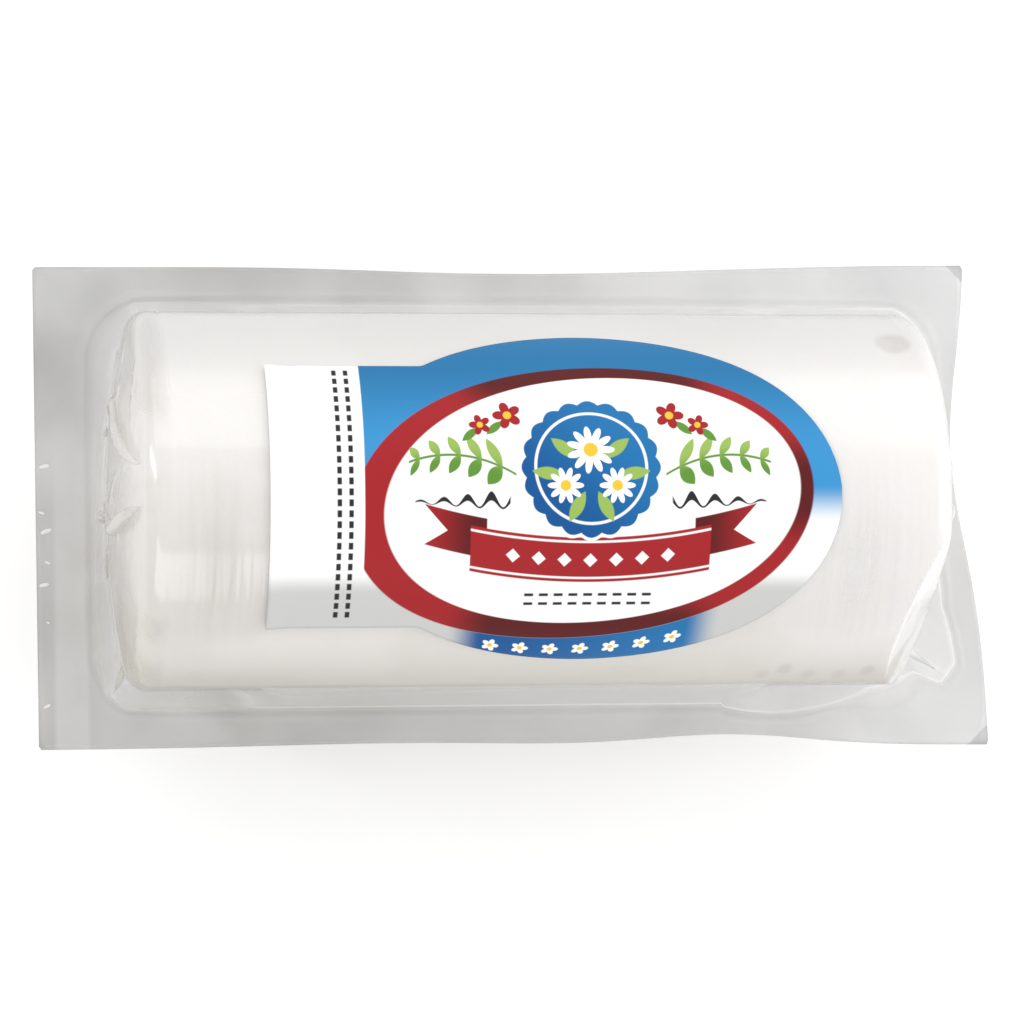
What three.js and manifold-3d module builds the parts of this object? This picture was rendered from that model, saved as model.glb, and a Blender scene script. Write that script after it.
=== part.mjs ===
// A fresh goat cheese log sealed in a clear vacuum pack, with a die-cut label on its front.
// Millimetres, +Z up. The log lies along X with its label up, on the flat that its own weight
// has pressed into it. The origin is on that flat, under the middle of the pack's outline.
import * as THREE from "three";
import { mergeVertices } from "three/addons/utils/BufferGeometryUtils.js";
import Module from "manifold-3d";

const wasm = await Module();
wasm.setup();

// The log, out to the film that clings to it
const LOG_RADIUS = 41.5;
const LOG_AXIS_Z = 39.5; // under the radius, which leaves a flat about 25 mm wide to lie on
const LOG_MIDDLE_X = -2.3; // the log sits a little off the middle of its pack
const LOG_STRAIGHT_HALF = 83.5; // from the middle to where each rim starts to round over
const RIM_RADIUS = 3.5;
const END_BULGE = 4.5; // each end swells this far past its rim

// The sealed flange: its outline, and the formed edge where the film turns up to the log
const SEAL_Z = 20;
const FLANGE_THICKNESS = 0.8;
const FLANGE_RIGHT_X = { front: 108.8, back: 105.2 };
const FLANGE_LEFT_X = { front: -107.9, back: -108.8 };
const FLANGE_BACK_Y = { left: 53.3, right: 55.1 };
const FLANGE_FRONT_Y = { left: -53.9, right: -55.1 };
const RIDGE_HALF_LENGTH = 96.5;
const RIDGE_HALF_WIDTH = 46.6;
const RIDGE_CORNER = 14;
const BEAD_HEIGHT = 0.8;
const BEAD_WIDTH = 1.6;
const WAVE_HEIGHT = 0.5; // the flange's slow rise and fall along the long edges
const WAVE_LENGTH = 74;

// Where the vacuum has pulled the cut edge inwards: place along the edge, reach, depth
const BACK_PULLS = [{ at: 6, reach: 48, depth: 1.8 }];
const FRONT_PULLS = [
  { at: 48, reach: 26, depth: 2.6 },
  { at: -25, reach: 45, depth: 1.1 },
];
const RIGHT_PULLS = [{ at: 12, reach: 30, depth: 5.6 }];

// Creases of spare film at the ends: angle from the log's own direction in degrees, positive
// to the back, half-width in degrees, and lift in millimetres
const RIGHT_CREASES = [
  { angle: -38, spread: 4, lift: 2.4 },
  { angle: -29, spread: 4, lift: 2.0 },
  { angle: -10, spread: 4, lift: 0.9 },
  { angle: 19, spread: 4, lift: 0.9 },
  { angle: 40, spread: 5, lift: 1.6 },
];
const LEFT_CREASES = [
  { angle: -40, spread: 5, lift: 2.2 },
  { angle: -24, spread: 4, lift: 1.1 },
  { angle: -6, spread: 4, lift: 1.5 },
  { angle: 12, spread: 4, lift: 1.2 },
  { angle: 33, spread: 5, lift: 1.8 },
];

// The round dent near the log's back right shoulder
const DENT_PLACE = { x: 76.3, tilt: 53.5 }; // tilt is in degrees from straight up, to the back
const DENT_RADIUS = 3.6;
const DENT_DEPTH = 0.9;

// The label, measured on the flat before it is wrapped over the log
const LABEL_GAP = 0.3;
const LABEL_THICKNESS = 0.4;
const LABEL_OVAL = { x: 5.3, across: -1.7, halfLength: 54.8, halfWidth: 41 };
const LABEL_TAB = { left: -63.3, right: -26, top: 29.1, bottom: -31.8 };

// How finely the film is divided
const FAN_HALF = 48.5; // the rows of points fan out beyond this distance from the log's middle
const FAN_STEP = 4.5;
const RIM_ANGLES = [44.8, 46, 47.3, 48.6, 49.9];
const SIDE_COLUMNS = 10;
const UPPER_ROWS = 10;
const FILM_ROWS = 4;
const UNDER_ROWS = 4;
const BACK_FILM_LOW_Z = 14; // the back film leaves the log at this height
const LABEL_COLUMNS = 32;
const LABEL_ROWS = 10;

const DEGREE = Math.PI / 180;
const UNDER_ANGLE = Math.asin((BACK_FILM_LOW_Z - LOG_AXIS_Z) / LOG_RADIUS);
const FLAT_ANGLE = -Math.asin(LOG_AXIS_Z / LOG_RADIUS);

const mix = (a, b, t) => a + (b - a) * t;
const bell = (d) => Math.exp(-d * d);

// How far an end of the log reaches from its middle, at a distance from its axis
function endReach(fromAxis) {
  const r = Math.min(fromAxis, LOG_RADIUS);
  const intoRim = Math.max(0, r - (LOG_RADIUS - RIM_RADIUS)) / RIM_RADIUS;
  const rim = RIM_RADIUS * Math.sqrt(Math.max(0, 1 - intoRim * intoRim));
  return LOG_STRAIGHT_HALF + rim + END_BULGE * (1 - (r / LOG_RADIUS) ** 2);
}

// The three outlines seen from above, each as a test of whether a point is inside
function insideLog(x, y) {
  const across = Math.abs(y);
  return across <= LOG_RADIUS && Math.abs(x - LOG_MIDDLE_X) <= endReach(across);
}

function insideRidge(x, y) {
  const dx = Math.abs(x) - (RIDGE_HALF_LENGTH - RIDGE_CORNER);
  const dy = Math.abs(y) - (RIDGE_HALF_WIDTH - RIDGE_CORNER);
  return Math.hypot(Math.max(dx, 0), Math.max(dy, 0)) <= RIDGE_CORNER;
}

const pulledIn = (pulls, s) =>
  pulls.reduce((sum, p) => sum + p.depth * bell((s - p.at) / p.reach), 0);
const alongX = (x) =>
  (x - FLANGE_LEFT_X.back) / (FLANGE_RIGHT_X.front - FLANGE_LEFT_X.back);
const alongY = (y) =>
  (y - FLANGE_FRONT_Y.right) / (FLANGE_BACK_Y.right - FLANGE_FRONT_Y.right);

const backEdge = (x) =>
  mix(FLANGE_BACK_Y.left, FLANGE_BACK_Y.right, alongX(x)) -
  pulledIn(BACK_PULLS, x);
const frontEdge = (x) =>
  mix(FLANGE_FRONT_Y.left, FLANGE_FRONT_Y.right, alongX(x)) +
  pulledIn(FRONT_PULLS, x);
const rightEdge = (y) =>
  mix(FLANGE_RIGHT_X.front, FLANGE_RIGHT_X.back, alongY(y)) -
  pulledIn(RIGHT_PULLS, y);
const leftEdge = (y) => mix(FLANGE_LEFT_X.front, FLANGE_LEFT_X.back, alongY(y));

function insideFlange(x, y) {
  const inLength = x >= leftEdge(y) && x <= rightEdge(y);
  return inLength && y <= backEdge(x) && y >= frontEdge(x);
}

// Where two edges of the flange cross
function flangeCorner(edgeX, edgeY) {
  let y = edgeY(0);
  let x = edgeX(y);
  for (let i = 0; i < 12; i++) {
    y = edgeY(x);
    x = edgeX(y);
  }
  return { x, y };
}

// How far a line runs from a point before it leaves an outline
function reach(x, y, angle, inside) {
  let near = 0;
  let far = 2 * RIDGE_HALF_LENGTH;
  for (let i = 0; i < 40; i++) {
    const middle = (near + far) / 2;
    if (inside(x + middle * Math.cos(angle), y + middle * Math.sin(angle)))
      near = middle;
    else far = middle;
  }
  return near;
}

// A column of points runs from the log's top line out to the flange's edge, in one direction
function column(fromX, angle) {
  const outTo = (inside) => {
    const distance = reach(fromX, 0, angle, inside);
    return {
      x: fromX + distance * Math.cos(angle),
      y: distance * Math.sin(angle),
    };
  };
  return {
    angle,
    end: Math.sign(Math.round(Math.cos(angle) * 1e6)),
    log: outTo(insideLog),
    ridge: outTo(insideRidge),
    edge: outTo(insideFlange),
  };
}

// Directions of one end's columns between the log's own direction and straight across
function fanAngles(end, creases) {
  const fromX = LOG_MIDDLE_X + end * FAN_HALF;
  const corners = [backEdge, frontEdge].map((edge) => {
    const corner = flangeCorner(end > 0 ? rightEdge : leftEdge, edge);
    return (
      Math.atan2(Math.abs(corner.y), Math.abs(corner.x - fromX)) / DEGREE
    );
  });
  const feet = creases.flatMap((c) => [
    Math.abs(c.angle - c.spread),
    Math.abs(c.angle),
    Math.abs(c.angle + c.spread),
  ]);
  const wanted = [0, ...corners, ...RIM_ANGLES, ...feet];
  const regular = [];
  for (let a = FAN_STEP; a < 90; a += FAN_STEP) regular.push(a);
  const kept = [];
  for (const angle of [...wanted, ...regular])
    if (kept.every((other) => Math.abs(other - angle) > FAN_STEP / 5))
      kept.push(angle);
  return kept.sort((a, b) => a - b).map((a) => a * DEGREE);
}

// All columns, anticlockwise from the right end, each half of them the other's mirror image
function allColumns() {
  const half = [];
  const right = LOG_MIDDLE_X + FAN_HALF;
  const left = LOG_MIDDLE_X - FAN_HALF;
  for (const angle of fanAngles(1, RIGHT_CREASES))
    half.push({ x: right, angle });
  for (let i = 0; i <= SIDE_COLUMNS; i++)
    half.push({ x: mix(right, left, i / SIDE_COLUMNS), angle: Math.PI / 2 });
  for (const angle of fanAngles(-1, LEFT_CREASES).reverse())
    half.push({ x: left, angle: Math.PI - angle });
  const mirrored = half.slice(1, -1).reverse();
  return [
    ...half.map((c) => column(c.x, c.angle)),
    ...mirrored.map((c) => column(c.x, -c.angle)),
  ];
}

// A point of the log's surface in a column, at an angle above or below its widest line
function onLog(col, elevation) {
  const y = col.log.y * Math.cos(elevation);
  const rise = LOG_RADIUS * Math.sin(elevation);
  const onSide = Math.abs(col.log.y) > LOG_RADIUS - 1e-6;
  const x = onSide
    ? col.log.x
    : LOG_MIDDLE_X + col.end * endReach(Math.hypot(y, rise));
  return new THREE.Vector3(x, y, LOG_AXIS_Z + rise);
}

// The flange rises along one long edge where it falls along the other
function flangeHeight(x, y) {
  const wave = Math.sin((x * 2 * Math.PI) / WAVE_LENGTH);
  return SEAL_Z + (WAVE_HEIGHT * wave * y) / FLANGE_BACK_Y.right;
}

// A point between the formed edge, at 0, and the cut edge, at 1
function onFlange(col, t, above) {
  const x = mix(col.ridge.x, col.edge.x, t);
  const y = mix(col.ridge.y, col.edge.y, t);
  return new THREE.Vector3(x, y, flangeHeight(x, y) + above);
}

// How much spare film stands up in a column, as a share of each crease's lift
function creaseLift(col) {
  if (col.end === 0) return 0;
  const creases = col.end > 0 ? RIGHT_CREASES : LEFT_CREASES;
  const sine = Math.sin(col.angle);
  const degrees = Math.atan2(sine, Math.abs(Math.cos(col.angle))) / DEGREE;
  return creases.reduce((sum, c) => {
    const away = Math.abs(degrees - c.angle) / c.spread;
    return sum + c.lift * Math.max(0, 1 - away);
  }, 0);
}

function lifted(point, col, share) {
  const lift = creaseLift(col) * share;
  point.x += 0.6 * lift * Math.cos(col.angle);
  point.y += 0.6 * lift * Math.sin(col.angle);
  point.z += 0.8 * lift;
  return point;
}

// The front film hangs from the log's widest line and curves out to the formed edge
function frontFilm(col, t) {
  const start = onLog(col, 0);
  const finish = onFlange(col, 0, FLANGE_THICKNESS / 2);
  const bend = start.clone().lerp(finish, 0.12).setZ(finish.z + 6);
  const curve = new THREE.QuadraticBezierCurve3(start, bend, finish);
  return curve.getPoint(t);
}

// The back film is drawn in from the formed edge to the underside of the log
function backFilm(col, t) {
  const start = onFlange(col, 0, -FLANGE_THICKNESS / 2);
  const finish = onLog(col, UNDER_ANGLE);
  const bend = start.clone().lerp(finish, 0.55).setZ(finish.z + 2);
  const curve = new THREE.QuadraticBezierCurve3(start, bend, finish);
  return curve.getPoint(t);
}

// The bead of the formed edge, on the flange's upper face
function bead(col, across, height) {
  const point = onFlange(col, 0, FLANGE_THICKNESS / 2 + height);
  point.x += across * Math.cos(col.angle);
  point.y += across * Math.sin(col.angle);
  return point;
}

// Every ring of points round the pack, from the log's top line to the edge of its resting flat
function packRings(columns) {
  const rings = [];
  const ring = (place) => rings.push(columns.map(place));
  for (let i = 0; i <= UPPER_ROWS; i++) {
    const elevation = mix(Math.PI / 2, 0, i / UPPER_ROWS);
    const share = Math.max(0, 1 - elevation / (50 * DEGREE)) * 0.7;
    ring((col) => lifted(onLog(col, elevation), col, share));
  }
  for (let i = 1; i <= FILM_ROWS; i++) {
    const t = i / FILM_ROWS;
    ring((col) => lifted(frontFilm(col, t), col, mix(1, 0.5, t)));
  }
  ring((col) => lifted(bead(col, BEAD_WIDTH / 2, BEAD_HEIGHT), col, 0.5));
  ring((col) => lifted(bead(col, BEAD_WIDTH, 0), col, 0.4));
  ring((col) => onFlange(col, 0.6, FLANGE_THICKNESS / 2));
  ring((col) => onFlange(col, 1, FLANGE_THICKNESS / 2));
  ring((col) => onFlange(col, 1, -FLANGE_THICKNESS / 2));
  ring((col) => onFlange(col, 0.6, -FLANGE_THICKNESS / 2));
  ring((col) => backFilm(col, 0));
  ring((col) => backFilm(col, 0.5));
  for (let i = 0; i <= UNDER_ROWS; i++)
    ring((col) => onLog(col, mix(UNDER_ANGLE, FLAT_ANGLE, i / UNDER_ROWS)));
  return rings;
}

// Triangles between neighbouring rings of points, and across the last ring's resting flat
function skinOf(rings) {
  const count = rings[0].length;
  const at = (ring, col) => ring * count + (col % count);
  const faces = [];
  for (let r = 0; r + 1 < rings.length; r++)
    for (let c = 0; c < count; c++) {
      faces.push([at(r, c), at(r + 1, c), at(r + 1, c + 1)]);
      faces.push([at(r, c), at(r + 1, c + 1), at(r, c + 1)]);
    }
  const last = rings.length - 1;
  for (let c = 0; c < count / 2; c++) {
    const mirror = at(last, count - c);
    const nextMirror = at(last, count - c - 1);
    faces.push([at(last, c), mirror, nextMirror]);
    faces.push([at(last, c), nextMirror, at(last, c + 1)]);
  }
  return geometryOf(rings.flat(), faces);
}

// A geometry with shared points merged, and without the faces that this closes up
function geometryOf(points, faces) {
  const loose = new THREE.BufferGeometry().setFromPoints(points);
  loose.setIndex(faces.flat());
  const merged = mergeVertices(loose, 1e-3);
  const kept = [];
  for (let i = 0; i < merged.index.count; i += 3) {
    const [a, b, c] = merged.index.array.slice(i, i + 3);
    if (a !== b && b !== c && a !== c) kept.push(a, b, c);
  }
  merged.setIndex(kept);
  return merged;
}

function toSolid(geometry) {
  const bare = geometry.clone();
  bare.deleteAttribute("normal");
  bare.deleteAttribute("uv");
  const merged = mergeVertices(bare, 1e-4);
  return new wasm.Manifold(
    new wasm.Mesh({
      numProp: 3,
      vertProperties: merged.attributes.position.array,
      triVerts: new Uint32Array(merged.index.array),
    }),
  );
}

function toGeometry(solid) {
  const mesh = solid.getMesh();
  const geometry = new THREE.BufferGeometry();
  const positions = new THREE.BufferAttribute(mesh.vertProperties, 3);
  geometry.setAttribute("position", positions);
  geometry.setIndex(new THREE.BufferAttribute(mesh.triVerts, 1));
  geometry.computeVertexNormals();
  return geometry;
}

// The ball that presses the dent into the log's shoulder
function dentBall() {
  const radius = (DENT_RADIUS ** 2 + DENT_DEPTH ** 2) / (2 * DENT_DEPTH);
  const fromAxis = LOG_RADIUS - DENT_DEPTH + radius;
  const tilt = DENT_PLACE.tilt * DEGREE;
  const ball = new THREE.IcosahedronGeometry(radius, 5);
  ball.translate(
    DENT_PLACE.x,
    fromAxis * Math.sin(tilt),
    LOG_AXIS_Z + fromAxis * Math.cos(tilt),
  );
  return ball;
}

function packGeometry() {
  const skin = skinOf(packRings(allColumns()));
  return toGeometry(toSolid(skin).subtract(toSolid(dentBall())));
}

// How far the label reaches across the log at a place along it, before it is wrapped
function labelSpan(x) {
  const { x: middle, across, halfLength, halfWidth } = LABEL_OVAL;
  const along = Math.min(1, Math.abs(x - middle) / halfLength);
  const half = halfWidth * Math.sqrt(1 - along * along);
  const onTab = x < LABEL_TAB.right;
  return {
    low: Math.min(across - half, onTab ? LABEL_TAB.bottom : Infinity),
    high: Math.max(across + half, onTab ? LABEL_TAB.top : -Infinity),
  };
}

// Places along the label: even over the tab, then closer together towards the oval's tip
function labelPlaces() {
  const places = [];
  const tip = LABEL_OVAL.x + LABEL_OVAL.halfLength;
  for (let i = 0; i <= LABEL_COLUMNS; i++) {
    const turn = mix(0, Math.PI / 2 - 0.05, i / LABEL_COLUMNS);
    places.push(mix(LABEL_TAB.left, tip, Math.sin(turn)));
  }
  return places;
}

function labelGeometry() {
  const inner = LOG_RADIUS + LABEL_GAP;
  const points = [];
  const faces = [];
  const places = labelPlaces();
  for (const layer of [0, 1])
    for (const x of places) {
      const { low, high } = labelSpan(x);
      for (let row = 0; row <= LABEL_ROWS; row++) {
        const angle = mix(low, high, row / LABEL_ROWS) / LOG_RADIUS;
        const radius = inner + layer * LABEL_THICKNESS;
        const y = radius * Math.sin(angle);
        const z = LOG_AXIS_Z + radius * Math.cos(angle);
        points.push(new THREE.Vector3(x, y, z));
      }
    }
  const rows = LABEL_ROWS + 1;
  const at = (layer, col, row) => (layer * places.length + col) * rows + row;
  const quad = (a, b, c, d) => faces.push([a, b, c], [a, c, d]);
  const lastCol = places.length - 1;
  for (let col = 0; col < lastCol; col++) {
    for (let row = 0; row < LABEL_ROWS; row++) {
      quad(
        at(1, col, row),
        at(1, col + 1, row),
        at(1, col + 1, row + 1),
        at(1, col, row + 1),
      );
      quad(
        at(0, col, row),
        at(0, col, row + 1),
        at(0, col + 1, row + 1),
        at(0, col + 1, row),
      );
    }
    quad(at(0, col, 0), at(0, col + 1, 0), at(1, col + 1, 0), at(1, col, 0));
    const top = LABEL_ROWS;
    quad(
      at(1, col, top),
      at(1, col + 1, top),
      at(0, col + 1, top),
      at(0, col, top),
    );
  }
  for (let row = 0; row < LABEL_ROWS; row++) {
    quad(at(0, 0, row), at(1, 0, row), at(1, 0, row + 1), at(0, 0, row + 1));
    quad(
      at(1, lastCol, row),
      at(0, lastCol, row),
      at(0, lastCol, row + 1),
      at(1, lastCol, row + 1),
    );
  }
  const geometry = geometryOf(points, faces);
  geometry.computeVertexNormals();
  return geometry;
}

function namedMesh(name, geometry, material) {
  const mesh = new THREE.Mesh(geometry, material);
  mesh.name = name;
  return mesh;
}

const wrappedCheese = new THREE.MeshStandardMaterial({
  color: 0xf4f1ea,
  roughness: 0.3,
  metalness: 0,
});
const labelPaper = new THREE.MeshStandardMaterial({
  color: 0xfafafa,
  roughness: 0.6,
  metalness: 0,
});

const cheeseLogPack = new THREE.Group();
cheeseLogPack.add(
  namedMesh("vacuum_pack", packGeometry(), wrappedCheese),
  namedMesh("front_label", labelGeometry(), labelPaper),
);

export default cheeseLogPack;
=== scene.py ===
"""A fresh goat cheese log in a clear vacuum pack, lying on its back with the label up."""

import math

import bmesh
import bpy
import numpy as np
from mathutils import Matrix, Vector, noise


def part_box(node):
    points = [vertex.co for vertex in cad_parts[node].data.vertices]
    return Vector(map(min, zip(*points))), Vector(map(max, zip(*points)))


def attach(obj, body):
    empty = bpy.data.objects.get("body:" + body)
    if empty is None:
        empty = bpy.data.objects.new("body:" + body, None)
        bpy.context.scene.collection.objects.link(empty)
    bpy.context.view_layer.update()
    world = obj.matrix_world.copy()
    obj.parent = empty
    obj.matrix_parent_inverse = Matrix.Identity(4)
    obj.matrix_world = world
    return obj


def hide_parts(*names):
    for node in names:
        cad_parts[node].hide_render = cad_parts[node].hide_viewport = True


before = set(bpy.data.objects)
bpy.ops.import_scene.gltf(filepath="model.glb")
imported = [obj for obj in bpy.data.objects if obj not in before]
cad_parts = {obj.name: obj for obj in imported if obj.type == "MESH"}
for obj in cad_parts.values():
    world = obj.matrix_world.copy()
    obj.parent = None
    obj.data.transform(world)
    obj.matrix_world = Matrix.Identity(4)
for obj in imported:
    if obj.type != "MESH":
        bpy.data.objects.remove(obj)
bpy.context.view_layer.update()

# The cheese: one thick log of fresh goat cheese, white, moist and fine-grained, pressed into
# shape by its mould. Each end swells a little past its rim, a finger has left a shallow dent
# in the back right shoulder, and the log has settled on a flat along its underside.

MM = 0.001
AXIS_Z = 39.5
_, pack_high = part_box("vacuum_pack")
FILM_RADIUS = pack_high.z / MM - AXIS_Z  # where the film clings, just off the cheese
CHEESE_GAP = 0.3
MIDDLE_X = -2.3
STRAIGHT_HALF = 83.5
RIM_RADIUS = 3.5
END_BULGE = 4.5
DENT_X = 76.3
DENT_TILT = math.radians(53.5)  # from straight up, to the back
DENT_RADIUS = 3.6
DENT_REACH = DENT_RADIUS * 1.15  # with its soft edge
DENT_DEPTH = 0.9
FACET_WAY = Vector((0.79, -0.51, 0.34)).normalized()  # the front right corner, pressed flat
FACET_REACH = 98.6
MARKS = ((48.6, -74.0), (53.0, -69.0), (59.0, -73.0), (66.1, -73.5), (72.0, -70.5))
MARK_HALF = (1.7, 3.2)
CHEESE_UNEVENNESS = 0.35
CHEESE_SEGMENTS = 176
CHEESE_RINGS = 136
STRAIGHT_SHARE = 0.6  # of the rings from the middle to an end

CURD_WHITE = (0.765, 0.748, 0.72, 1)
# painted shade and light, laid into the curd's colour where the light falls on the log; the last
# colour is the marks' own and also the dent's painted shade
CURD_WET_AND_PAINTED_SHADE = (0.63, 0.60, 0.555, 1)
CURD_PAINTED_LIGHT = (0.83, 0.81, 0.79, 1)
CURD_PAINTED_SHADE_BACK = (0.58, 0.57, 0.555, 1)
FOOT_PAINTED_SHADE = (0.505, 0.478, 0.42, 1)
LEFT_FOOT_PAINTED_SHADE = (0.40, 0.382, 0.335, 1)
MARK_AND_PAINTED_DENT_SHADE = (0.42, 0.38, 0.35, 1)

# where the painted shade and light on the cheese start and where they are full, in metres apart from
# the marks
PAINTED_SHADE_FRONT_Y = (0.008, -0.030)
PAINTED_SHADE_BACK_Y = (0.020, 0.038)
PAINTED_LIGHT_RIGHT_X = (0.030, 0.085)
PAINTED_SHADE_LEFT_X = (-0.010, -0.070)
PAINTED_SHADE_FOOT_Z = (0.068, 0.048)
# the dent is darkened in the curd's colour as painted shade, from its middle out to this
DENT_PAINTED_SHADE = (DENT_RADIUS * 1.35 * MM, DENT_RADIUS * 0.85 * MM)  # from the dent's middle
MARK_EDGE = (1.6, 0.0)  # as a share of a mark's half sizes, squared
# how much of each shade there is where it is full: the wet patches and the marks are the cheese's
# own, the rest is painted shade and light
SHARES = {"wet": 0.25, "front": 0.5, "right": 0.75, "back": 0.8, "foot": 0.95}
SHARES |= {"left foot": 0.6, "marks": 0.7, "dent": 0.42}
WET_PATCHES = {"scale": 34, "detail": 2, "roughness": 0.6, "stretch": (0.7, 1, 1)}
WET_LEVELS = (0.46, 0.56)
CURD_ROUGHNESS = (0.34, 0.50)  # where it is dry, and where it is wet
CURDS = {"scale": 160, "detail": 1, "roughness": 0.5}
GRAIN = {"scale": 900, "detail": 1, "roughness": 0.6}
GRAIN_TO_CURDS = 0.4
LUMPS = {"scale": 26, "detail": 3, "roughness": 0.55}


def lerp(first, second, share):
    return first + (second - first) * share


def operators(operation):
    """The methods for one of Python's operators, plain and with its two sides the other way."""

    def plain(wire, other):
        return wire.bench.maths(operation, wire, other)

    def reflected(wire, other):
        return wire.bench.maths(operation, other, wire)

    return plain, reflected


class Wire:
    """One output in a node tree. Python's arithmetic on it adds the Math nodes."""

    def __init__(self, bench, socket):
        self.bench = bench
        self.socket = socket

    def __abs__(self):
        return self.bench.maths("ABSOLUTE", self)

    __add__, __radd__ = operators("ADD")
    __sub__, __rsub__ = operators("SUBTRACT")
    __mul__, __rmul__ = operators("MULTIPLY")
    __truediv__, __rtruediv__ = operators("DIVIDE")
    __pow__, __rpow__ = operators("POWER")


class Bench:
    """A node tree being worked on. Every node in it comes from node()."""

    def __init__(self, tree):
        self.tree = tree

    def node(self, kind, settings=None, sockets=None, out=0):
        made = self.tree.nodes.new(kind)
        for name, value in (settings or {}).items():
            setattr(made, name, value)
        for name, value in (sockets or {}).items():
            if isinstance(value, Wire):
                self.tree.links.new(value.socket, made.inputs[name])
            else:
                made.inputs[name].default_value = value
        return Wire(self, made.outputs[out]) if len(made.outputs) else None

    def maths(self, operation, *values, clamp=False):
        settings = {"operation": operation, "use_clamp": clamp}
        return self.node("ShaderNodeMath", settings, dict(enumerate(values)))

    def vector(self, operation, *values, out=0):
        settings = {"operation": operation}
        return self.node("ShaderNodeVectorMath", settings, dict(enumerate(values)), out)

    def least(self, first, second):
        return self.maths("MINIMUM", first, second)

    def most(self, first, second):
        return self.maths("MAXIMUM", first, second)

    def clamped(self, value):
        return self.maths("ADD", value, 0, clamp=True)

    def smooth(self, value, low, high):
        """0 below low and 1 above high, or the other way round, with a soft step between."""
        ends = {"Value": value, "From Min": low, "From Max": high}
        return self.node("ShaderNodeMapRange", {"interpolation_type": "SMOOTHSTEP"}, ends)

    def both(self, first, first_ends, second, second_ends):
        """1 where two values are both past their soft steps, and 0 where one is short of its own."""
        return self.smooth(first, *first_ends) * self.smooth(second, *second_ends)

    def blend(self, amount, first, second):
        sockets = {0: amount, 6: first, 7: second}
        return self.node("ShaderNodeMix", {"data_type": "RGBA"}, sockets, 2)

    def parts(self, vector):
        made = self.node("ShaderNodeSeparateXYZ", None, {0: vector}).socket.node
        return [Wire(self, made.outputs[axis]) for axis in "XYZ"]

    def out_from(self, x, y):
        return self.maths("SQRT", x * x + y * y)

    def joined(self, x, y, z):
        return self.node("ShaderNodeCombineXYZ", None, {"X": x, "Y": y, "Z": z})

    def clouds(self, place, scale, detail=2.0, roughness=0.5, stretch=(1, 1, 1)):
        """Noise from 0 to 1, its scale in features to the unit of place."""
        stretched = self.vector("MULTIPLY", place, stretch)
        sockets = {"Scale": scale, "Detail": detail, "Roughness": roughness}
        return self.node("ShaderNodeTexNoise", None, {"Vector": stretched, **sockets})

    def attribute(self, name, out="Fac"):
        return self.node("ShaderNodeAttribute", {"attribute_name": name}, None, out)

    def object_place(self):
        return self.node("ShaderNodeTexCoord", None, None, "Object")


def new_finish(name, constants):
    """A material with one Principled shader: its bench, and the shader's inputs."""
    made = bpy.data.materials.new(name)
    made.use_nodes = True
    shader = made.node_tree.nodes["Principled BSDF"]
    shader.distribution = "GGX"
    for socket, value in constants.items():
        shader.inputs[socket].default_value = value
    return made, Bench(made.node_tree), shader.inputs


def feed(bench, socket, wire):
    bench.tree.links.new(wire.socket, socket)


def emboss(bench, shader, height, strength, distance):
    """Bumps on a finish, as deep as a distance in millimetres where the height is 1."""
    relief = {"Strength": strength, "Distance": distance * MM, "Height": height}
    feed(bench, shader["Normal"], bench.node("ShaderNodeBump", None, relief, "Normal"))


def on_shoulder(x, tilt):
    """The place on the film at a distance along the log and a tilt from straight up."""
    return Vector((x, FILM_RADIUS * math.sin(tilt), AXIS_Z + FILM_RADIUS * math.cos(tilt)))


def small_marks(bench, x, y, z):
    """1 in the small marks where air was left between the film and the cheese, and 0 outside."""
    found = 0
    for mark_x, degrees in MARKS:
        at = on_shoulder(mark_x, math.radians(degrees)) * MM
        along = (x - at.x) / (MARK_HALF[0] * MM)
        across = ((y - at.y) ** 2 + (z - at.z) ** 2) / (MARK_HALF[1] * MM) ** 2
        found = found + bench.smooth(along * along + across, *MARK_EDGE)
    return found


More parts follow.
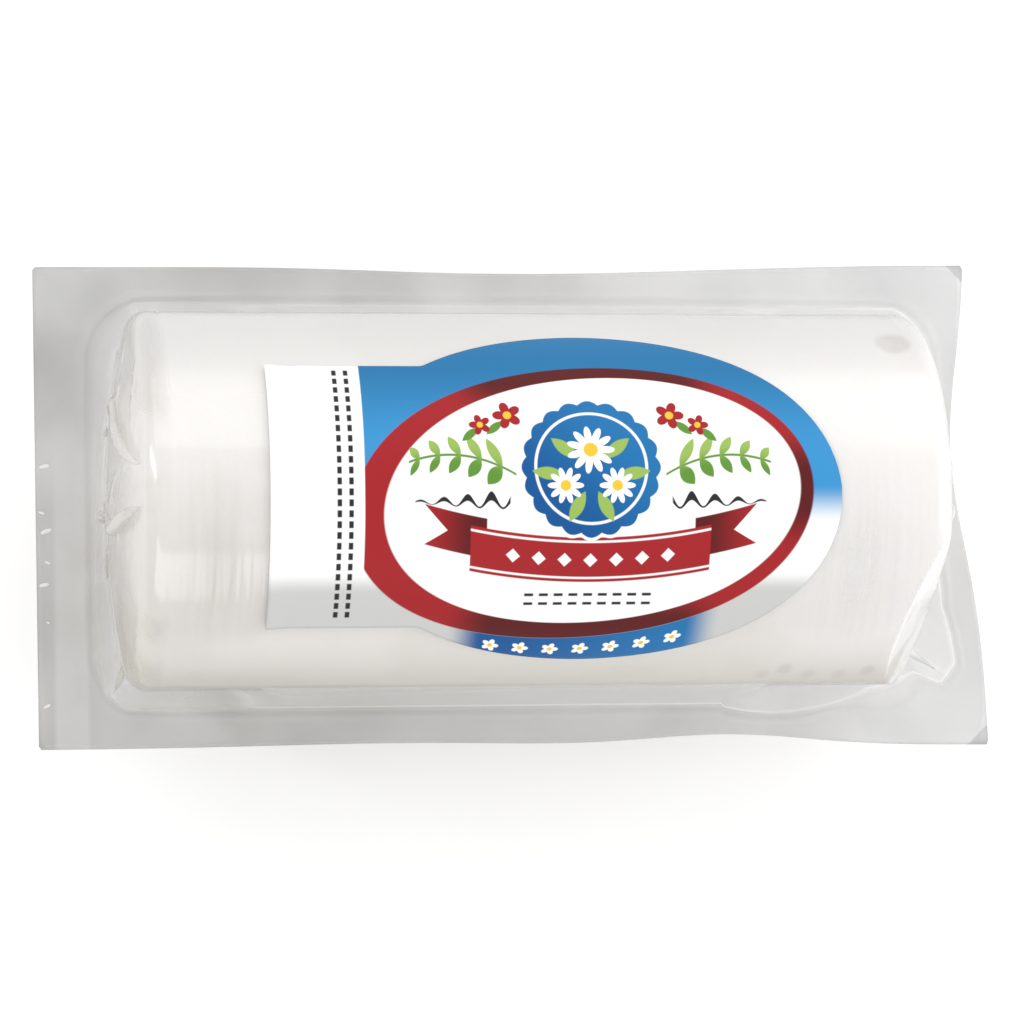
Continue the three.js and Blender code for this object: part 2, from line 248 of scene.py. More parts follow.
def curd_finish():
    constants = {
        "Roughness": 0.4,
        "Subsurface Weight": 0.35,
        "Subsurface Radius": (1.0, 0.8, 0.55),
        "Subsurface Scale": 0.0025,
    }
    made, bench, shader = new_finish("moist_curd", constants)
    place = bench.object_place()
    x, y, z = bench.parts(place)
    wet = bench.smooth(bench.clouds(place, **WET_PATCHES), *WET_LEVELS)
    # painted shade to the front of the log, laid in with the wet patches, which are the cheese's own
    in_front = bench.smooth(y, *PAINTED_SHADE_FRONT_Y)
    # painted shade at the foot of the front, warmer, and deeper to the left
    painted_foot_shade = bench.smooth(z, *PAINTED_SHADE_FOOT_Z) * in_front
    shaded = wet * SHARES["wet"] + in_front * SHARES["front"]
    colour = bench.blend(shaded, CURD_WHITE, CURD_WET_AND_PAINTED_SHADE)
    # painted light to the right of the log
    colour = bench.blend(bench.smooth(x, *PAINTED_LIGHT_RIGHT_X) * SHARES["right"], colour, CURD_PAINTED_LIGHT)
    # painted shade along the top back of the log
    colour = bench.blend(bench.smooth(y, *PAINTED_SHADE_BACK_Y) * SHARES["back"], colour, CURD_PAINTED_SHADE_BACK)
    left_foot = bench.smooth(x, *PAINTED_SHADE_LEFT_X) * SHARES["left foot"]
    foot_shade_colour = bench.blend(left_foot, FOOT_PAINTED_SHADE, LEFT_FOOT_PAINTED_SHADE)
    colour = bench.blend(painted_foot_shade * SHARES["foot"], colour, foot_shade_colour)
    # painted shade in the dent; the small marks are the cheese's own darker colour
    from_dent = bench.vector("DISTANCE", place, on_shoulder(DENT_X, DENT_TILT) * MM, out="Value")
    dent = bench.smooth(from_dent, *DENT_PAINTED_SHADE)
    marks = small_marks(bench, x, y, z) * SHARES["marks"]
    colour = bench.blend(bench.most(marks, dent * SHARES["dent"]), colour, MARK_AND_PAINTED_DENT_SHADE)
    feed(bench, shader["Base Color"], colour)
    feed(bench, shader["Roughness"], lerp(*CURD_ROUGHNESS, wet))
    height = bench.clouds(place, **GRAIN) * GRAIN_TO_CURDS + bench.clouds(place, **CURDS)
    emboss(bench, shader, height, strength=0.35, distance=0.4)
    return made


def new_growth(name, inputs):
    """An empty geometry tree with named inputs: its bench, and a wire for each input."""
    tree = bpy.data.node_groups.new(name, "GeometryNodeTree")
    tree.interface.new_socket("Geometry", in_out="OUTPUT", socket_type="NodeSocketGeometry")
    for title, value in inputs.items():
        kind = "NodeSocketInt" if isinstance(value, int) else "NodeSocketFloat"
        tree.interface.new_socket(title, in_out="INPUT", socket_type=kind)
    bench = Bench(tree)
    source = tree.nodes.new("NodeGroupInput")
    wires = {title: Wire(bench, source.outputs[title]) for title in inputs}
    return bench, wires


def grown(name, bench, inputs, geometry, material):
    """The tree's result as a plain, smooth mesh object, named and linked to the scene."""
    smooth = bench.node("GeometryNodeSetShadeSmooth", None, {0: geometry})
    real = bench.node("GeometryNodeRealizeInstances", None, {"Geometry": smooth})
    dressed = bench.node(
        "GeometryNodeSetMaterial", None, {"Geometry": real, "Material": material}
    )
    bench.node("NodeGroupOutput", None, {"Geometry": dressed})
    seedling = new_object(name, bpy.data.meshes.new(name))
    modifier = seedling.modifiers.new("growth", "NODES")
    modifier.node_group = bench.tree
    for item in bench.tree.interface.items_tree:
        if item.in_out == "INPUT":
            modifier[item.identifier] = inputs[item.name]
    evaluated = seedling.evaluated_get(bpy.context.evaluated_depsgraph_get())
    mesh = bpy.data.meshes.new_from_object(evaluated)
    seedling.modifiers.remove(modifier)
    seedling.data = mesh
    return seedling


def new_object(name, data):
    """A new object with its data, linked to the scene."""
    made = bpy.data.objects.new(name, data)
    bpy.context.scene.collection.objects.link(made)
    return made


def settle_in(piece, slot, *nodes):
    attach(piece, "root")
    if nodes:
        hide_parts(*nodes)


def cheese_log():
    sizes = {
        "Radius": (FILM_RADIUS - CHEESE_GAP) * MM,
        "Axis Height": AXIS_Z * MM,
        "Middle": MIDDLE_X * MM,
        "Straight Half": (STRAIGHT_HALF - CHEESE_GAP) * MM,
        "Rim Radius": RIM_RADIUS * MM,
        "End Bulge": END_BULGE * MM,
        "Unevenness": CHEESE_UNEVENNESS * MM,
        "Dent Radius": DENT_REACH * MM,
        "Dent Depth": DENT_DEPTH * MM,
        "Floor Gap": CHEESE_GAP * MM,
        "Facet Reach": (FACET_REACH - CHEESE_GAP) * MM,
        "Segments": CHEESE_SEGMENTS,
        "Rings": CHEESE_RINGS,
    }
    bench, given = new_growth("cheese_log_growth", sizes)
    ball = bench.node(
        "GeometryNodeMeshUVSphere",
        None,
        {"Segments": given["Segments"], "Rings": given["Rings"], "Radius": 1.0},
    )
    place = bench.node("GeometryNodeInputPosition")
    across, up, along = bench.parts(place)
    share = abs(bench.maths("ARCSINE", along)) / (math.pi / 2)
    past_straight = bench.clamped((share - STRAIGHT_SHARE) / (1 - STRAIGHT_SHARE))
    radius = given["Radius"] * bench.maths("COSINE", past_straight * (math.pi / 2))
    into_rim = radius - (given["Radius"] - given["Rim Radius"])
    into_rim = bench.most(into_rim, 0) / given["Rim Radius"]
    rim = given["Rim Radius"] * bench.maths("SQRT", bench.most(1 - into_rim * into_rim, 0))
    bulge = given["End Bulge"] * (1 - (radius / given["Radius"]) ** 2)
    end_face = given["Straight Half"] + rim + bulge
    barrel = given["Straight Half"] * (share / STRAIGHT_SHARE)
    on_end = bench.maths("GREATER_THAN", past_straight, 0.0)
    reach = on_end * end_face + (1 - on_end) * barrel
    x = given["Middle"] + bench.maths("SIGN", along) * reach
    spread = bench.most(bench.out_from(across, up), 1e-6)
    aside, above = across / spread, up / spread
    formed = bench.joined(x, aside * radius, above * radius)
    lumps = bench.clouds(formed, **LUMPS)
    sunk = given["Unevenness"] * lumps
    dent_at = (on_shoulder(DENT_X, DENT_TILT) - Vector((0, 0, AXIS_Z))) * MM
    from_dent = bench.vector("DISTANCE", formed, dent_at, out="Value")
    pressed = given["Dent Depth"] * bench.most(1 - (from_dent / given["Dent Radius"]) ** 2, 0)
    true_radius = radius - (sunk + pressed) * (radius / given["Radius"])
    height = bench.most(given["Axis Height"] + above * true_radius, given["Floor Gap"])
    moved = bench.joined(x, aside * true_radius, height)
    past_facet = bench.vector("DOT_PRODUCT", moved, FACET_WAY, out="Value") - given["Facet Reach"]
    past_facet = bench.most(past_facet, 0)
    pressing = bench.joined(*(past_facet * part for part in FACET_WAY))
    moved = bench.vector("SUBTRACT", moved, pressing)
    shaped = bench.node("GeometryNodeSetPosition", None, {"Geometry": ball, "Position": moved})
    return grown("cheese_log", bench, sizes, shaped, curd_finish())


cheese = cheese_log()
settle_in(cheese, "cheese", "vacuum_pack")

# The clear film: two webs of thick clear plastic, drawn down on the cheese by the vacuum and
# welded to each other all round in a flat flange. The spare film at the ends is settled by a
# small simulation: it is pushed in by the air, held off by the cheese and too long to lie flat,
# so that it buckles into folds.

SEAL_Z = 20.0
WEB_HALF = 0.15  # half the two webs' thickness where they are welded
FLANGE_RIGHT_X = {"front": 108.8, "back": 105.2}
FLANGE_LEFT_X = {"front": -107.9, "back": -108.8}
FLANGE_BACK_Y = {"left": 53.3, "right": 55.1}
FLANGE_FRONT_Y = {"left": -53.9, "right": -55.1}
PULLS = {
    "back": [(6, 48, 1.8)],
    "front": [(48, 26, 2.6), (-25, 45, 1.1)],
    "right": [(12, 30, 5.6)],
}
RIDGE_HALF = (96.5, 45.9)
RIDGE_CORNER = 14.0
BEAD_HEIGHT = 0.16
BEAD_WIDTH = 2.2
BEAD_PEAK = {"x": -87.0, "y": 38.0, "reach": 17.0, "rise": 0.65}
WAVE_HEIGHT = 0.5
WAVE_LENGTH = 74.0

FAR_OUT = 200.0  # past every outline, where the search for an edge starts
HALVINGS = 40
FAN_HALF = 48.5
FAN_COLUMNS = 130
SIDE_COLUMNS = 64
UPPER_ROWS = 56
SKIRT_ROWS = 26
LANDING_ROWS = 3
BEAD_ROWS = 4
FLANGE_ROWS = 7
UNDER_FLANGE_ROWS = 4
BACK_FILM_ROWS = 9
LOWER_ROWS = 10
BACK_FILM_LOW_Z = 14.0

LEFT_LANDING = {"x": -95.4, "y": -12.0, "sweep": 7.9, "half": 53.5}
RIGHT_LANDING = {
    "angles": (-90.0, -50.6, -40.1, -38.6, -33.5, -24.0, -12.0),
    "reaches": (45.6, 54.2, 59.3, 65.8, 66.0, 57.0, 51.6),
}
LANDING_HALF_WIDTH = 45.0
LANDING_STRIP = 0.8  # the least width of flat film between the landing and the ridge
FRONT_BEND = {"out": 0.12, "rise": 6}  # how the web hangs between the log and its landing
BACK_BEND = {"out": 0.55, "rise": 2}  # and how it rises from under the ridge to the log

SIM_STEPS = 130
SIM_ROUNDS = 5
FIRM, LOOSE = 0.9, 0.3  # how much of its stretch a straight link mends, and one on a slant
SLANT_SPARE = 0.6  # of the spare length across, in the links on a slant
SPEED_KEPT = 0.6
TOP_SPEED = 0.5  # in millimetres a step
SPARE_ACROSS = {"left": 0.065, "right": 0.06}  # how much too long the film is round the ends
SPARE_OUT = 0.05
SLACK_FROM, SLACK_OVER = 62, 20  # from the middle of the log, where the film starts to be slack
SLACK_ROWS = {"top": UPPER_ROWS // 4, "fade": UPPER_ROWS * 0.3, "foot_fade": 4}
BLEND_FROM, BLEND_OVER = 49, 18  # where what has settled takes over from the film at rest
AIR_PUSH = 0.2
STIFFNESS = 0.05
CHEESE_GRIP = 0.7
FOLD_SEED = 5
FIRST_BUCKLE = 0.5
SPARE_TO_BUCKLE = 30  # the film buckles in full where its spare length is a thirtieth or more
BUCKLE_ROUNDS = {"across": 5, "down": 26}  # the more, the broader the first buckles are
SMOOTHING_ROUNDS = 3
CORNER_OFF_SEAL = (2, 10)  # over the seal, where the flat corner starts, and over how much it grows

GATHERS = ((-74.0, -16.0, 8.0, 15.0), (66.0, -16.0, 12.0, 16.0))
GATHER_OVER_SEAL = 2
OPEN_CORNERS = ((FLANGE_RIGHT_X["back"] * MM, FLANGE_BACK_Y["right"] * MM),)
OPEN_CORNERS += ((FLANGE_RIGHT_X["front"] * MM, FLANGE_FRONT_Y["right"] * MM),)
OPEN_CORNER_EDGE = (0.0050, 0.0046)
FOLD_BACK_Y = 30.0  # further back the fold shows only past FOLD_RIGHT_X
FOLD_RIGHT_X = 70.0

# where the film's looks start, and over how many millimetres they grow to their full strength
FOLD_IN_FRONT = (0, 8)
FOLD_AT_RIGHT = (FOLD_RIGHT_X, 14)
SMEAR_PAST_RIM = (81, 6)
SMEAR_OFF_SEAL = (0.8, 3)
SMEAR_ON_CORNER = (-0.7, 0.6)
SMEAR_OVER_SKIRT = (12, 8)
# from the log's top line over the flange's edge to the flat underneath
MILKINESS = (0.03, 0.04, 0.16, 0.32, 0.49, 0.52, 0.20, 0.16, 0.06)
CLOUDS_TO_MM = 0.045
CLOUD_CONTRAST = 0.6
CLOUD_LEVELS = (0.35, 0.70)
STREAKS = {"scale": 460, "detail": 1, "roughness": 0.6, "stretch": (1.0, 0.06, 0.06)}
MILK_HAZE = (0.75, 1.25)  # between the clouds, and in them
SMEAR_HAZE = (0.16, 0.61)
GATHER_HAZE = 0.40
FOLD_HAZE = 0.22
OPEN_CORNER_HAZE = 0.3
GLOSS = (0.15, 0.50)  # seen square on, and at a glance
SOFTNESS = {"least": 0.13, "back": 0.13, "haze": 0.12, "milk": 0.45}
SMEAR_RELIEF = (0.70, 0.15)  # at the left end, and at the right

# where each tint of the film starts and where it is full, in metres; the tints to the left and
# right, at the back left and at the front left foot are painted shade and light
RIGHTWARD_X = (-0.09, 0.065)
BACKWARD_Y = (0.010, 0.022)
WELD_X = -0.1005
WELD_EDGE = (0.0045, 0.0030)
WELD_BELOW_Z = (0.024, 0.021)
WELD_FRONT_Y = (0.02, -0.02)
PAINTED_SHADE_BACK_LEFT = {"x": (-0.085, -0.098), "y": (0.005, 0.030)}
PAINTED_SHADE_FRONT_LEFT = {"x": (0.0, -0.06), "y": (-0.020, -0.034)}
# how much of each tint there is where it is full
WELD_SHARE = 0.4
PAINTED_SHADE_BACK_LEFT_SHARE = 0.8
RIGHT_SOFT_SHARE = 0.8
FOLD_HIGHLIGHT_SHARE = 0.8
# the webs' grey, darker to the left and lighter to the right as painted shade and light, and dark
# overall as painted shade for the shadow that the film does not cast
WEB_PAINTED_SHADE_LEFT = (0.225, 0.215, 0.20, 1)
WEB_PAINTED_LIGHT_RIGHT = (0.45, 0.445, 0.45, 1)
WEB_WELDED = (0.52, 0.515, 0.50, 1)
# painted shade on the back left of the flange
WEB_PAINTED_SHADE_BACK_LEFT = (0.11, 0.108, 0.10, 1)
WEB_OPEN = (0.42, 0.42, 0.42, 1)
# the smear's tints: painted shade at the left end, painted light at the right end
SMEAR_PAINTED_SHADE_LEFT = (0.57, 0.55, 0.515, 1)
SMEAR_PAINTED_LIGHT_RIGHT = (0.88, 0.87, 0.86, 1)
# painted shade on the smear at the front left foot
SMEAR_FOOT_PAINTED_SHADE = (0.52, 0.50, 0.39, 1)
SHINE_COLOUR = (0.9, 0.9, 0.9, 1)

CRIMPS = 9
CRIMP_FROM = (-106.6, 7.0)
CRIMP_TO = (-105.4, -45.5)
CRIMP_HALF = (1.5, 0.55, 0.22)
CRIMP_DRIFT = ((-0.0006, -0.0022, 0.0), (0.0006, 0.0022, 0.0))
CRIMP_MOTTLE = {"scale": 900, "detail": 1, "roughness": 0.5}
CRIMP_SIZE = (0.45, 1.0)
CRIMP_TURN = (-0.5, 0.5)
CRIMP_PAINTED_GLINT = (0.80, 0.80, 0.81, 1)
CRIMP_PAINTED_GLINT_PALE = (0.66, 0.66, 0.67, 1)


def bell(distance):
    return np.exp(-distance * distance)


def ramp(value, start, over):
    """0 up to a start, rising to 1 over a distance."""
    return np.clip((value - start) / over, 0, 1)


def end_reach(from_axis):
    """How far an end of the log reaches from its middle, at a distance from its axis."""
    r = np.minimum(from_axis, FILM_RADIUS)
    into_rim = np.maximum(0, r - (FILM_RADIUS - RIM_RADIUS)) / RIM_RADIUS
    rim = RIM_RADIUS * np.sqrt(np.maximum(0, 1 - into_rim**2))
    return STRAIGHT_HALF + rim + END_BULGE * (1 - (r / FILM_RADIUS) ** 2)


def inside_log(x, y):
    across = np.abs(y)
    return (across <= FILM_RADIUS) & (np.abs(x - MIDDLE_X) <= end_reach(across))


def inside_ridge(x, y):
    past_x = np.maximum(np.abs(x) - (RIDGE_HALF[0] - RIDGE_CORNER), 0)
    past_y = np.maximum(np.abs(y) - (RIDGE_HALF[1] - RIDGE_CORNER), 0)
    return np.hypot(past_x, past_y) <= RIDGE_CORNER


def pulled_in(side, place):
    return sum(depth * bell((place - at) / reach) for at, reach, depth in PULLS[side])


def inside_flange(x, y):
    along = (x - FLANGE_LEFT_X["back"]) / (FLANGE_RIGHT_X["front"] - FLANGE_LEFT_X["back"])
    across = (y - FLANGE_FRONT_Y["right"]) / (FLANGE_BACK_Y["right"] - FLANGE_FRONT_Y["right"])
    back = lerp(FLANGE_BACK_Y["left"], FLANGE_BACK_Y["right"], along) - pulled_in("back", x)
    front = lerp(FLANGE_FRONT_Y["left"], FLANGE_FRONT_Y["right"], along) + pulled_in("front", x)
    right = lerp(FLANGE_RIGHT_X["front"], FLANGE_RIGHT_X["back"], across) - pulled_in("right", y)
    left = lerp(FLANGE_LEFT_X["front"], FLANGE_LEFT_X["back"], across)
    return (x >= left) & (x <= right) & (y <= back) & (y >= front)


def inside_landing(x, y):
    """Where the free film comes down on the seal, apart from the folds of the front right."""
    bend = ((y - LEFT_LANDING["y"]) / LEFT_LANDING["half"]) ** 2
    left = LEFT_LANDING["x"] + LEFT_LANDING["sweep"] * bend
    return inside_ridge(x, y) & (x >= left) & (np.abs(y) <= LANDING_HALF_WIDTH)


class Columns:
    """The film's columns run from the log's top line out to the cut edge, each in one direction.
    They fan out at both ends and lie side by side between; each half mirrors the other."""

    def __init__(self):
        turn = np.arange(FAN_COLUMNS) / FAN_COLUMNS * np.pi / 2
        right, left = MIDDLE_X + FAN_HALF, MIDDLE_X - FAN_HALF
        between = np.linspace(right, left, SIDE_COLUMNS + 1)
        square = np.full(SIDE_COLUMNS + 1, np.pi / 2)
        half_x = np.concatenate(
            [np.full(FAN_COLUMNS, right), between, np.full(FAN_COLUMNS, left)]
        )
        half_angle = np.concatenate([turn, square, np.pi - turn[::-1]])
        self.from_x = np.concatenate([half_x, half_x[1:-1][::-1]])
        self.angle = np.concatenate([half_angle, -half_angle[1:-1][::-1]])
        self.count = len(self.angle)
        self.way = np.stack([np.cos(self.angle), np.sin(self.angle)])
        self.end = np.sign(np.round(self.way[0] * 1e6))
        # degrees from the log's own direction, positive to the back
        self.degrees = np.degrees(np.arctan2(self.way[1], np.abs(self.way[0])))
        self.log = self.out_to(inside_log)
        self.ridge = self.out_to(inside_ridge)
        self.edge = self.out_to(inside_flange)
        self.landing = self.out_to(inside_landing)
        folded = (self.end > 0) & (self.degrees < RIGHT_LANDING["angles"][-1])
        reach = np.interp(self.degrees, RIGHT_LANDING["angles"], RIGHT_LANDING["reaches"])
        self.landing = np.where(folded, self.at(reach), self.landing)
        far = np.hypot(*(self.landing - self.start())) + LANDING_STRIP
        near = np.hypot(*(self.ridge - self.start()))
        self.ridge = self.at(np.maximum(far, near))

    def start(self):
        return np.stack([self.from_x, np.zeros(self.count)])

    def at(self, reach):
        return self.start() + reach * self.way

    def out_to(self, inside):
        near, far = np.zeros(self.count), np.full(self.count, FAR_OUT)
        for _ in range(HALVINGS):
            middle = (near + far) / 2
            within = inside(*self.at(middle))
            near = np.where(within, middle, near)
            far = np.where(within, far, middle)
        return self.at(near)


def on_log(columns, elevation):
    """The ring of points round the log at an angle above its widest line."""
    y = columns.log[1] * np.cos(elevation)
    rise = FILM_RADIUS * np.sin(elevation)
    on_side = np.abs(columns.log[1]) > FILM_RADIUS - 1e-6
    on_end = MIDDLE_X + columns.end * end_reach(np.hypot(y, rise))
    x = np.where(on_side, columns.log[0], on_end)
    return np.stack([x, y, np.full(columns.count, AXIS_Z + rise)])


def seal_height(x, y):
    wave = np.sin(x * 2 * np.pi / WAVE_LENGTH)
    return SEAL_Z + WAVE_HEIGHT * wave * y / FLANGE_BACK_Y["right"]


def on_seal(place, above):
    return np.stack([*place, seal_height(*place) + above])


def curve(start, bend, finish, share):
    return start * (1 - share) ** 2 + 2 * bend * share * (1 - share) + finish * share**2


def front_rings(columns):
    """The front web at rest: over the log, down to its landing, and out over the flange."""
    rings = []
    for row in range(UPPER_ROWS + 1):
        rings.append(on_log(columns, np.pi / 2 * (1 - row / UPPER_ROWS)))
    start = on_log(columns, 0.0)
    finish = on_seal(columns.landing, WEB_HALF)
    bend = lerp(start, finish, FRONT_BEND["out"])
    bend[2] = finish[2] + FRONT_BEND["rise"]
    for row in range(1, SKIRT_ROWS + 1):
        rings.append(curve(start, bend, finish, row / SKIRT_ROWS))
    for row in range(1, LANDING_ROWS + 1):
        place = lerp(columns.landing, columns.ridge, row / LANDING_ROWS)
        rings.append(on_seal(place, WEB_HALF))
    bead_end = columns.ridge + BEAD_WIDTH * columns.way
    from_peak = np.hypot(columns.ridge[0] - BEAD_PEAK["x"], columns.ridge[1] - BEAD_PEAK["y"])
    height = BEAD_HEIGHT + BEAD_PEAK["rise"] * bell(from_peak / BEAD_PEAK["reach"])
    for row in range(1, BEAD_ROWS + 1):
        share = row / BEAD_ROWS
        rise = height * math.sin(math.pi * share)
        rings.append(on_seal(lerp(columns.ridge, bead_end, share), WEB_HALF + rise))
    for row in range(1, FLANGE_ROWS + 1):
        place = lerp(bead_end, columns.edge, row / FLANGE_ROWS)
        rings.append(on_seal(place, WEB_HALF))
    return np.stack(rings, axis=1)


def back_rings(columns):
    """The back web: in under the flange, up against the log's underside, and its flat."""
    rings = []
    for row in range(UNDER_FLANGE_ROWS + 1):
        place = lerp(columns.edge, columns.ridge, row / UNDER_FLANGE_ROWS)
        rings.append(on_seal(place, -WEB_HALF))
    low_angle = math.asin((BACK_FILM_LOW_Z - AXIS_Z) / FILM_RADIUS)
    flat_angle = -math.asin(AXIS_Z / FILM_RADIUS)
    start = on_seal(columns.ridge, -WEB_HALF)
    finish = on_log(columns, low_angle)
    bend = lerp(start, finish, BACK_BEND["out"])
    bend[2] = finish[2] + BACK_BEND["rise"]
    for row in range(1, BACK_FILM_ROWS):
        rings.append(curve(start, bend, finish, row / BACK_FILM_ROWS))
    for row in range(LOWER_ROWS + 1):
        rings.append(on_log(columns, lerp(low_angle, flat_angle, row / LOWER_ROWS)))
    return np.stack(rings, axis=1)


def length(vectors):
    return np.sqrt(vectors[0] ** 2 + vectors[1] ** 2 + vectors[2] ** 2)


def outward(points):
    """The direction away from the cheese at each point of a strip of film."""
    along = np.gradient(points, axis=2)
    down = np.gradient(points, axis=1)
    normal = np.cross(down, along, axis=0)
    return normal / (length(normal) + 1e-9)


def hold_off(points):
    """Moves points that are inside the log out to its surface, and says which they were."""
    x, y, z = points[0] - MIDDLE_X, points[1], points[2] - AXIS_Z
    r = np.hypot(y, z)
    face = STRAIGHT_HALF + END_BULGE * (1 - (np.minimum(r, FILM_RADIUS) / FILM_RADIUS) ** 2)
    past_r = r - (FILM_RADIUS - RIM_RADIUS)
    past_x = np.abs(x) - face
    out_r, out_x = np.maximum(past_r, 0), np.maximum(past_x, 0)
    depth = np.hypot(out_r, out_x) + np.minimum(np.maximum(past_r, past_x), 0) - RIM_RADIUS
    inside = depth < 0
    on_rim = (past_r > 0) & (past_x > 0)
    to_r = np.where(on_rim, out_r, past_r > past_x)
    to_x = np.where(on_rim, out_x, past_r <= past_x)
    move = np.where(inside, -depth, 0.0) / (np.hypot(to_r, to_x) + 1e-9)
    inverse = 1 / np.maximum(r, 1e-6)
    points[0] += move * to_x * np.sign(x)
    points[1] += move * to_r * y * inverse
    points[2] += move * to_r * z * inverse
    return inside


def settle_film(points, spare_across, spare_out, free, seed):
    """Lets a strip of film buckle and settle on the log under the push of the air."""
    rows, cols = points.shape[1:]
    weight = free.astype(float)
    # each kind of link: its rows down and columns across, its hold, and its share of each spare
    kinds = [(0, 1, FIRM, 1.0, 0.0), (1, 0, FIRM, 0.0, 1.0), (1, 1, LOOSE, SLANT_SPARE, 0.0)]
    kinds += [(1, -1, LOOSE, SLANT_SPARE, 0.0), (0, 2, STIFFNESS, 1.0, 0.0)]
    links = []
    for down, across, hold, more_across, more_out in kinds:
        groups = 2 if down else 2 * across
        for first in range(groups):
            if down:
                count = (rows - first) // 2
                row_a = slice(first, first + 2 * count - 1, 2)
                row_b = slice(first + 1, first + 2 * count, 2)
                col_a = slice(max(0, -across), cols - max(0, across))
                col_b = slice(max(0, across), cols + min(0, across))
            else:
                row_a = row_b = slice(0, rows)
                col_b = slice(first + across, cols, 2 * across)
                taken = len(range(*col_b.indices(cols)))
                col_a = slice(first, first + (taken - 1) * 2 * across + 1, 2 * across)
            a, b = (slice(None), row_a, col_a), (slice(None), row_b, col_b)
            spare = more_across * spare_across[a[1:]] + more_out * spare_out[a[1:]]
            rest = length(points[b] - points[a]) * (1 + spare)
            both = weight[a[1:]] + weight[b[1:]] + 1e-9
            links.append((a, b, rest, hold * weight[a[1:]] / both, hold * weight[b[1:]] / both))
    rng = np.random.default_rng(seed)
    buckle = rng.standard_normal((rows, cols))
    for _ in range(BUCKLE_ROUNDS["across"]):
        buckle[:, 1:-1] = (buckle[:, 1:-1] + buckle[:, 2:] + buckle[:, :-2]) / 3
    for _ in range(BUCKLE_ROUNDS["down"]):
        buckle[1:-1] = (buckle[1:-1] + buckle[2:] + buckle[:-2]) / 3
    buckle = np.abs(buckle / buckle.std()) * weight
    buckle *= np.clip(spare_across * SPARE_TO_BUCKLE, 0, 1)
    points = points + outward(points) * FIRST_BUCKLE * buckle
    speed = np.zeros_like(points)
    for _ in range(SIM_STEPS):
        before = points.copy()
        points += speed * SPEED_KEPT * weight - outward(points) * AIR_PUSH * weight
        for _ in range(SIM_ROUNDS):
            for a, b, rest, give_a, give_b in links:
                gap = points[b] - points[a]
                long = length(gap) + 1e-9
                gap *= (long - rest) / long
                points[a] += gap * give_a
                points[b] -= gap * give_b
            seal = seal_height(points[0], points[1]) + WEB_HALF
            points[2] = np.where(free, np.maximum(points[2], seal), points[2])
            touching = hold_off(points)
        move = points - before
        points -= move * touching * CHEESE_GRIP * 0.5
        hold_off(points)
        speed = (points - before) * (1 - touching * CHEESE_GRIP)
        speed *= np.minimum(1, TOP_SPEED / (length(speed) + 1e-9))
    for _ in range(SMOOTHING_ROUNDS):
        around = points[:, :-2, 1:-1] + points[:, 2:, 1:-1]
        around = around + points[:, 1:-1, :-2] + points[:, 1:-1, 2:]
        points[:, 1:-1, 1:-1] = points[:, 1:-1, 1:-1] / 2 + around / 8
        hold_off(points)
    return points


def settled(columns, front, end):
    """One end's strip of columns, settled."""
    fan, count = FAN_COLUMNS, columns.count
    if end > 0:
        strip = np.arange(-fan, fan + 1) % count
    else:
        strip = np.arange(fan + SIDE_COLUMNS, count - fan - SIDE_COLUMNS + 1)
    top, foot = SLACK_ROWS["top"], UPPER_ROWS + SKIRT_ROWS + 1
    points = front[:, top - 1:foot][:, :, strip].copy()
    row = np.arange(top - 1, foot)[:, None]
    from_middle = np.abs(points[0] - MIDDLE_X)
    past_rim = ramp(from_middle, SLACK_FROM, SLACK_OVER)
    from_top = ramp(row, top, SLACK_ROWS["fade"])
    from_foot = ramp(foot - row, 0, SLACK_ROWS["foot_fade"])
    share = past_rim * from_top * from_foot
    free = np.ones(points.shape[1:], bool)
    free[0] = free[-1] = False
    free[:, 0] = free[:, -1] = False
    spare = SPARE_ACROSS["right" if end > 0 else "left"]
    seed = FOLD_SEED + int(end)
    made = settle_film(points, spare * share, SPARE_OUT * share, free, seed)
    near_end = ramp(from_middle, BLEND_FROM, BLEND_OVER)
    front[:, top - 1:foot, strip] = lerp(points, made, near_end**2 * (3 - 2 * near_end))
    return front


def past_facet(rings):
    """How far each point is past the flat front right corner."""
    return (rings * np.array(FACET_WAY)[:, None, None]).sum(axis=0) - FACET_REACH


def pressed_in(rings):
    """The rings pressed in with the cheese, in the dent and on the flat front right corner."""
    from_dent = rings - np.array(on_shoulder(DENT_X, DENT_TILT))[:, None, None]
    depth = DENT_DEPTH * np.maximum(0, 1 - (length(from_dent) / DENT_REACH) ** 2)
    kept = 1 - depth / FILM_RADIUS
    pressed = np.stack([rings[0], rings[1] * kept, AXIS_Z + (rings[2] - AXIS_Z) * kept])
    off_seal = ramp(pressed[2] - SEAL_Z, *CORNER_OFF_SEAL)
    push = np.maximum(past_facet(pressed), 0) * off_seal
    return pressed - np.array(FACET_WAY)[:, None, None] * push


def film_mesh(rings):
    """One closed envelope from the rings of both webs."""
    rows, cols = rings.shape[1:]
    row, col = np.meshgrid(np.arange(rows - 1), np.arange(cols), indexing="ij")
    after = (col + 1) % cols
    near, far = row * cols, (row + 1) * cols
    faces = np.stack([near + col, far + col, far + after, near + after], axis=-1)
    faces = faces.reshape(-1, 4).tolist()
    last = (rows - 1) * cols
    for col in range(cols // 2):
        mirror, next_mirror = (cols - col) % cols, cols - col - 1
        corners = dict.fromkeys([col, mirror, next_mirror, col + 1])
        faces.append([last + corner for corner in corners])
    mesh = bpy.data.meshes.new("clear_film")
    mesh.from_pydata((rings.reshape(3, -1).T * MM).tolist(), [], faces)
    return mesh


def write_attribute(mesh, name, values):
    made = mesh.attributes.new(name, "FLOAT", "POINT")
    made.data.foreach_set("value", np.ascontiguousarray(values, np.float32).ravel())


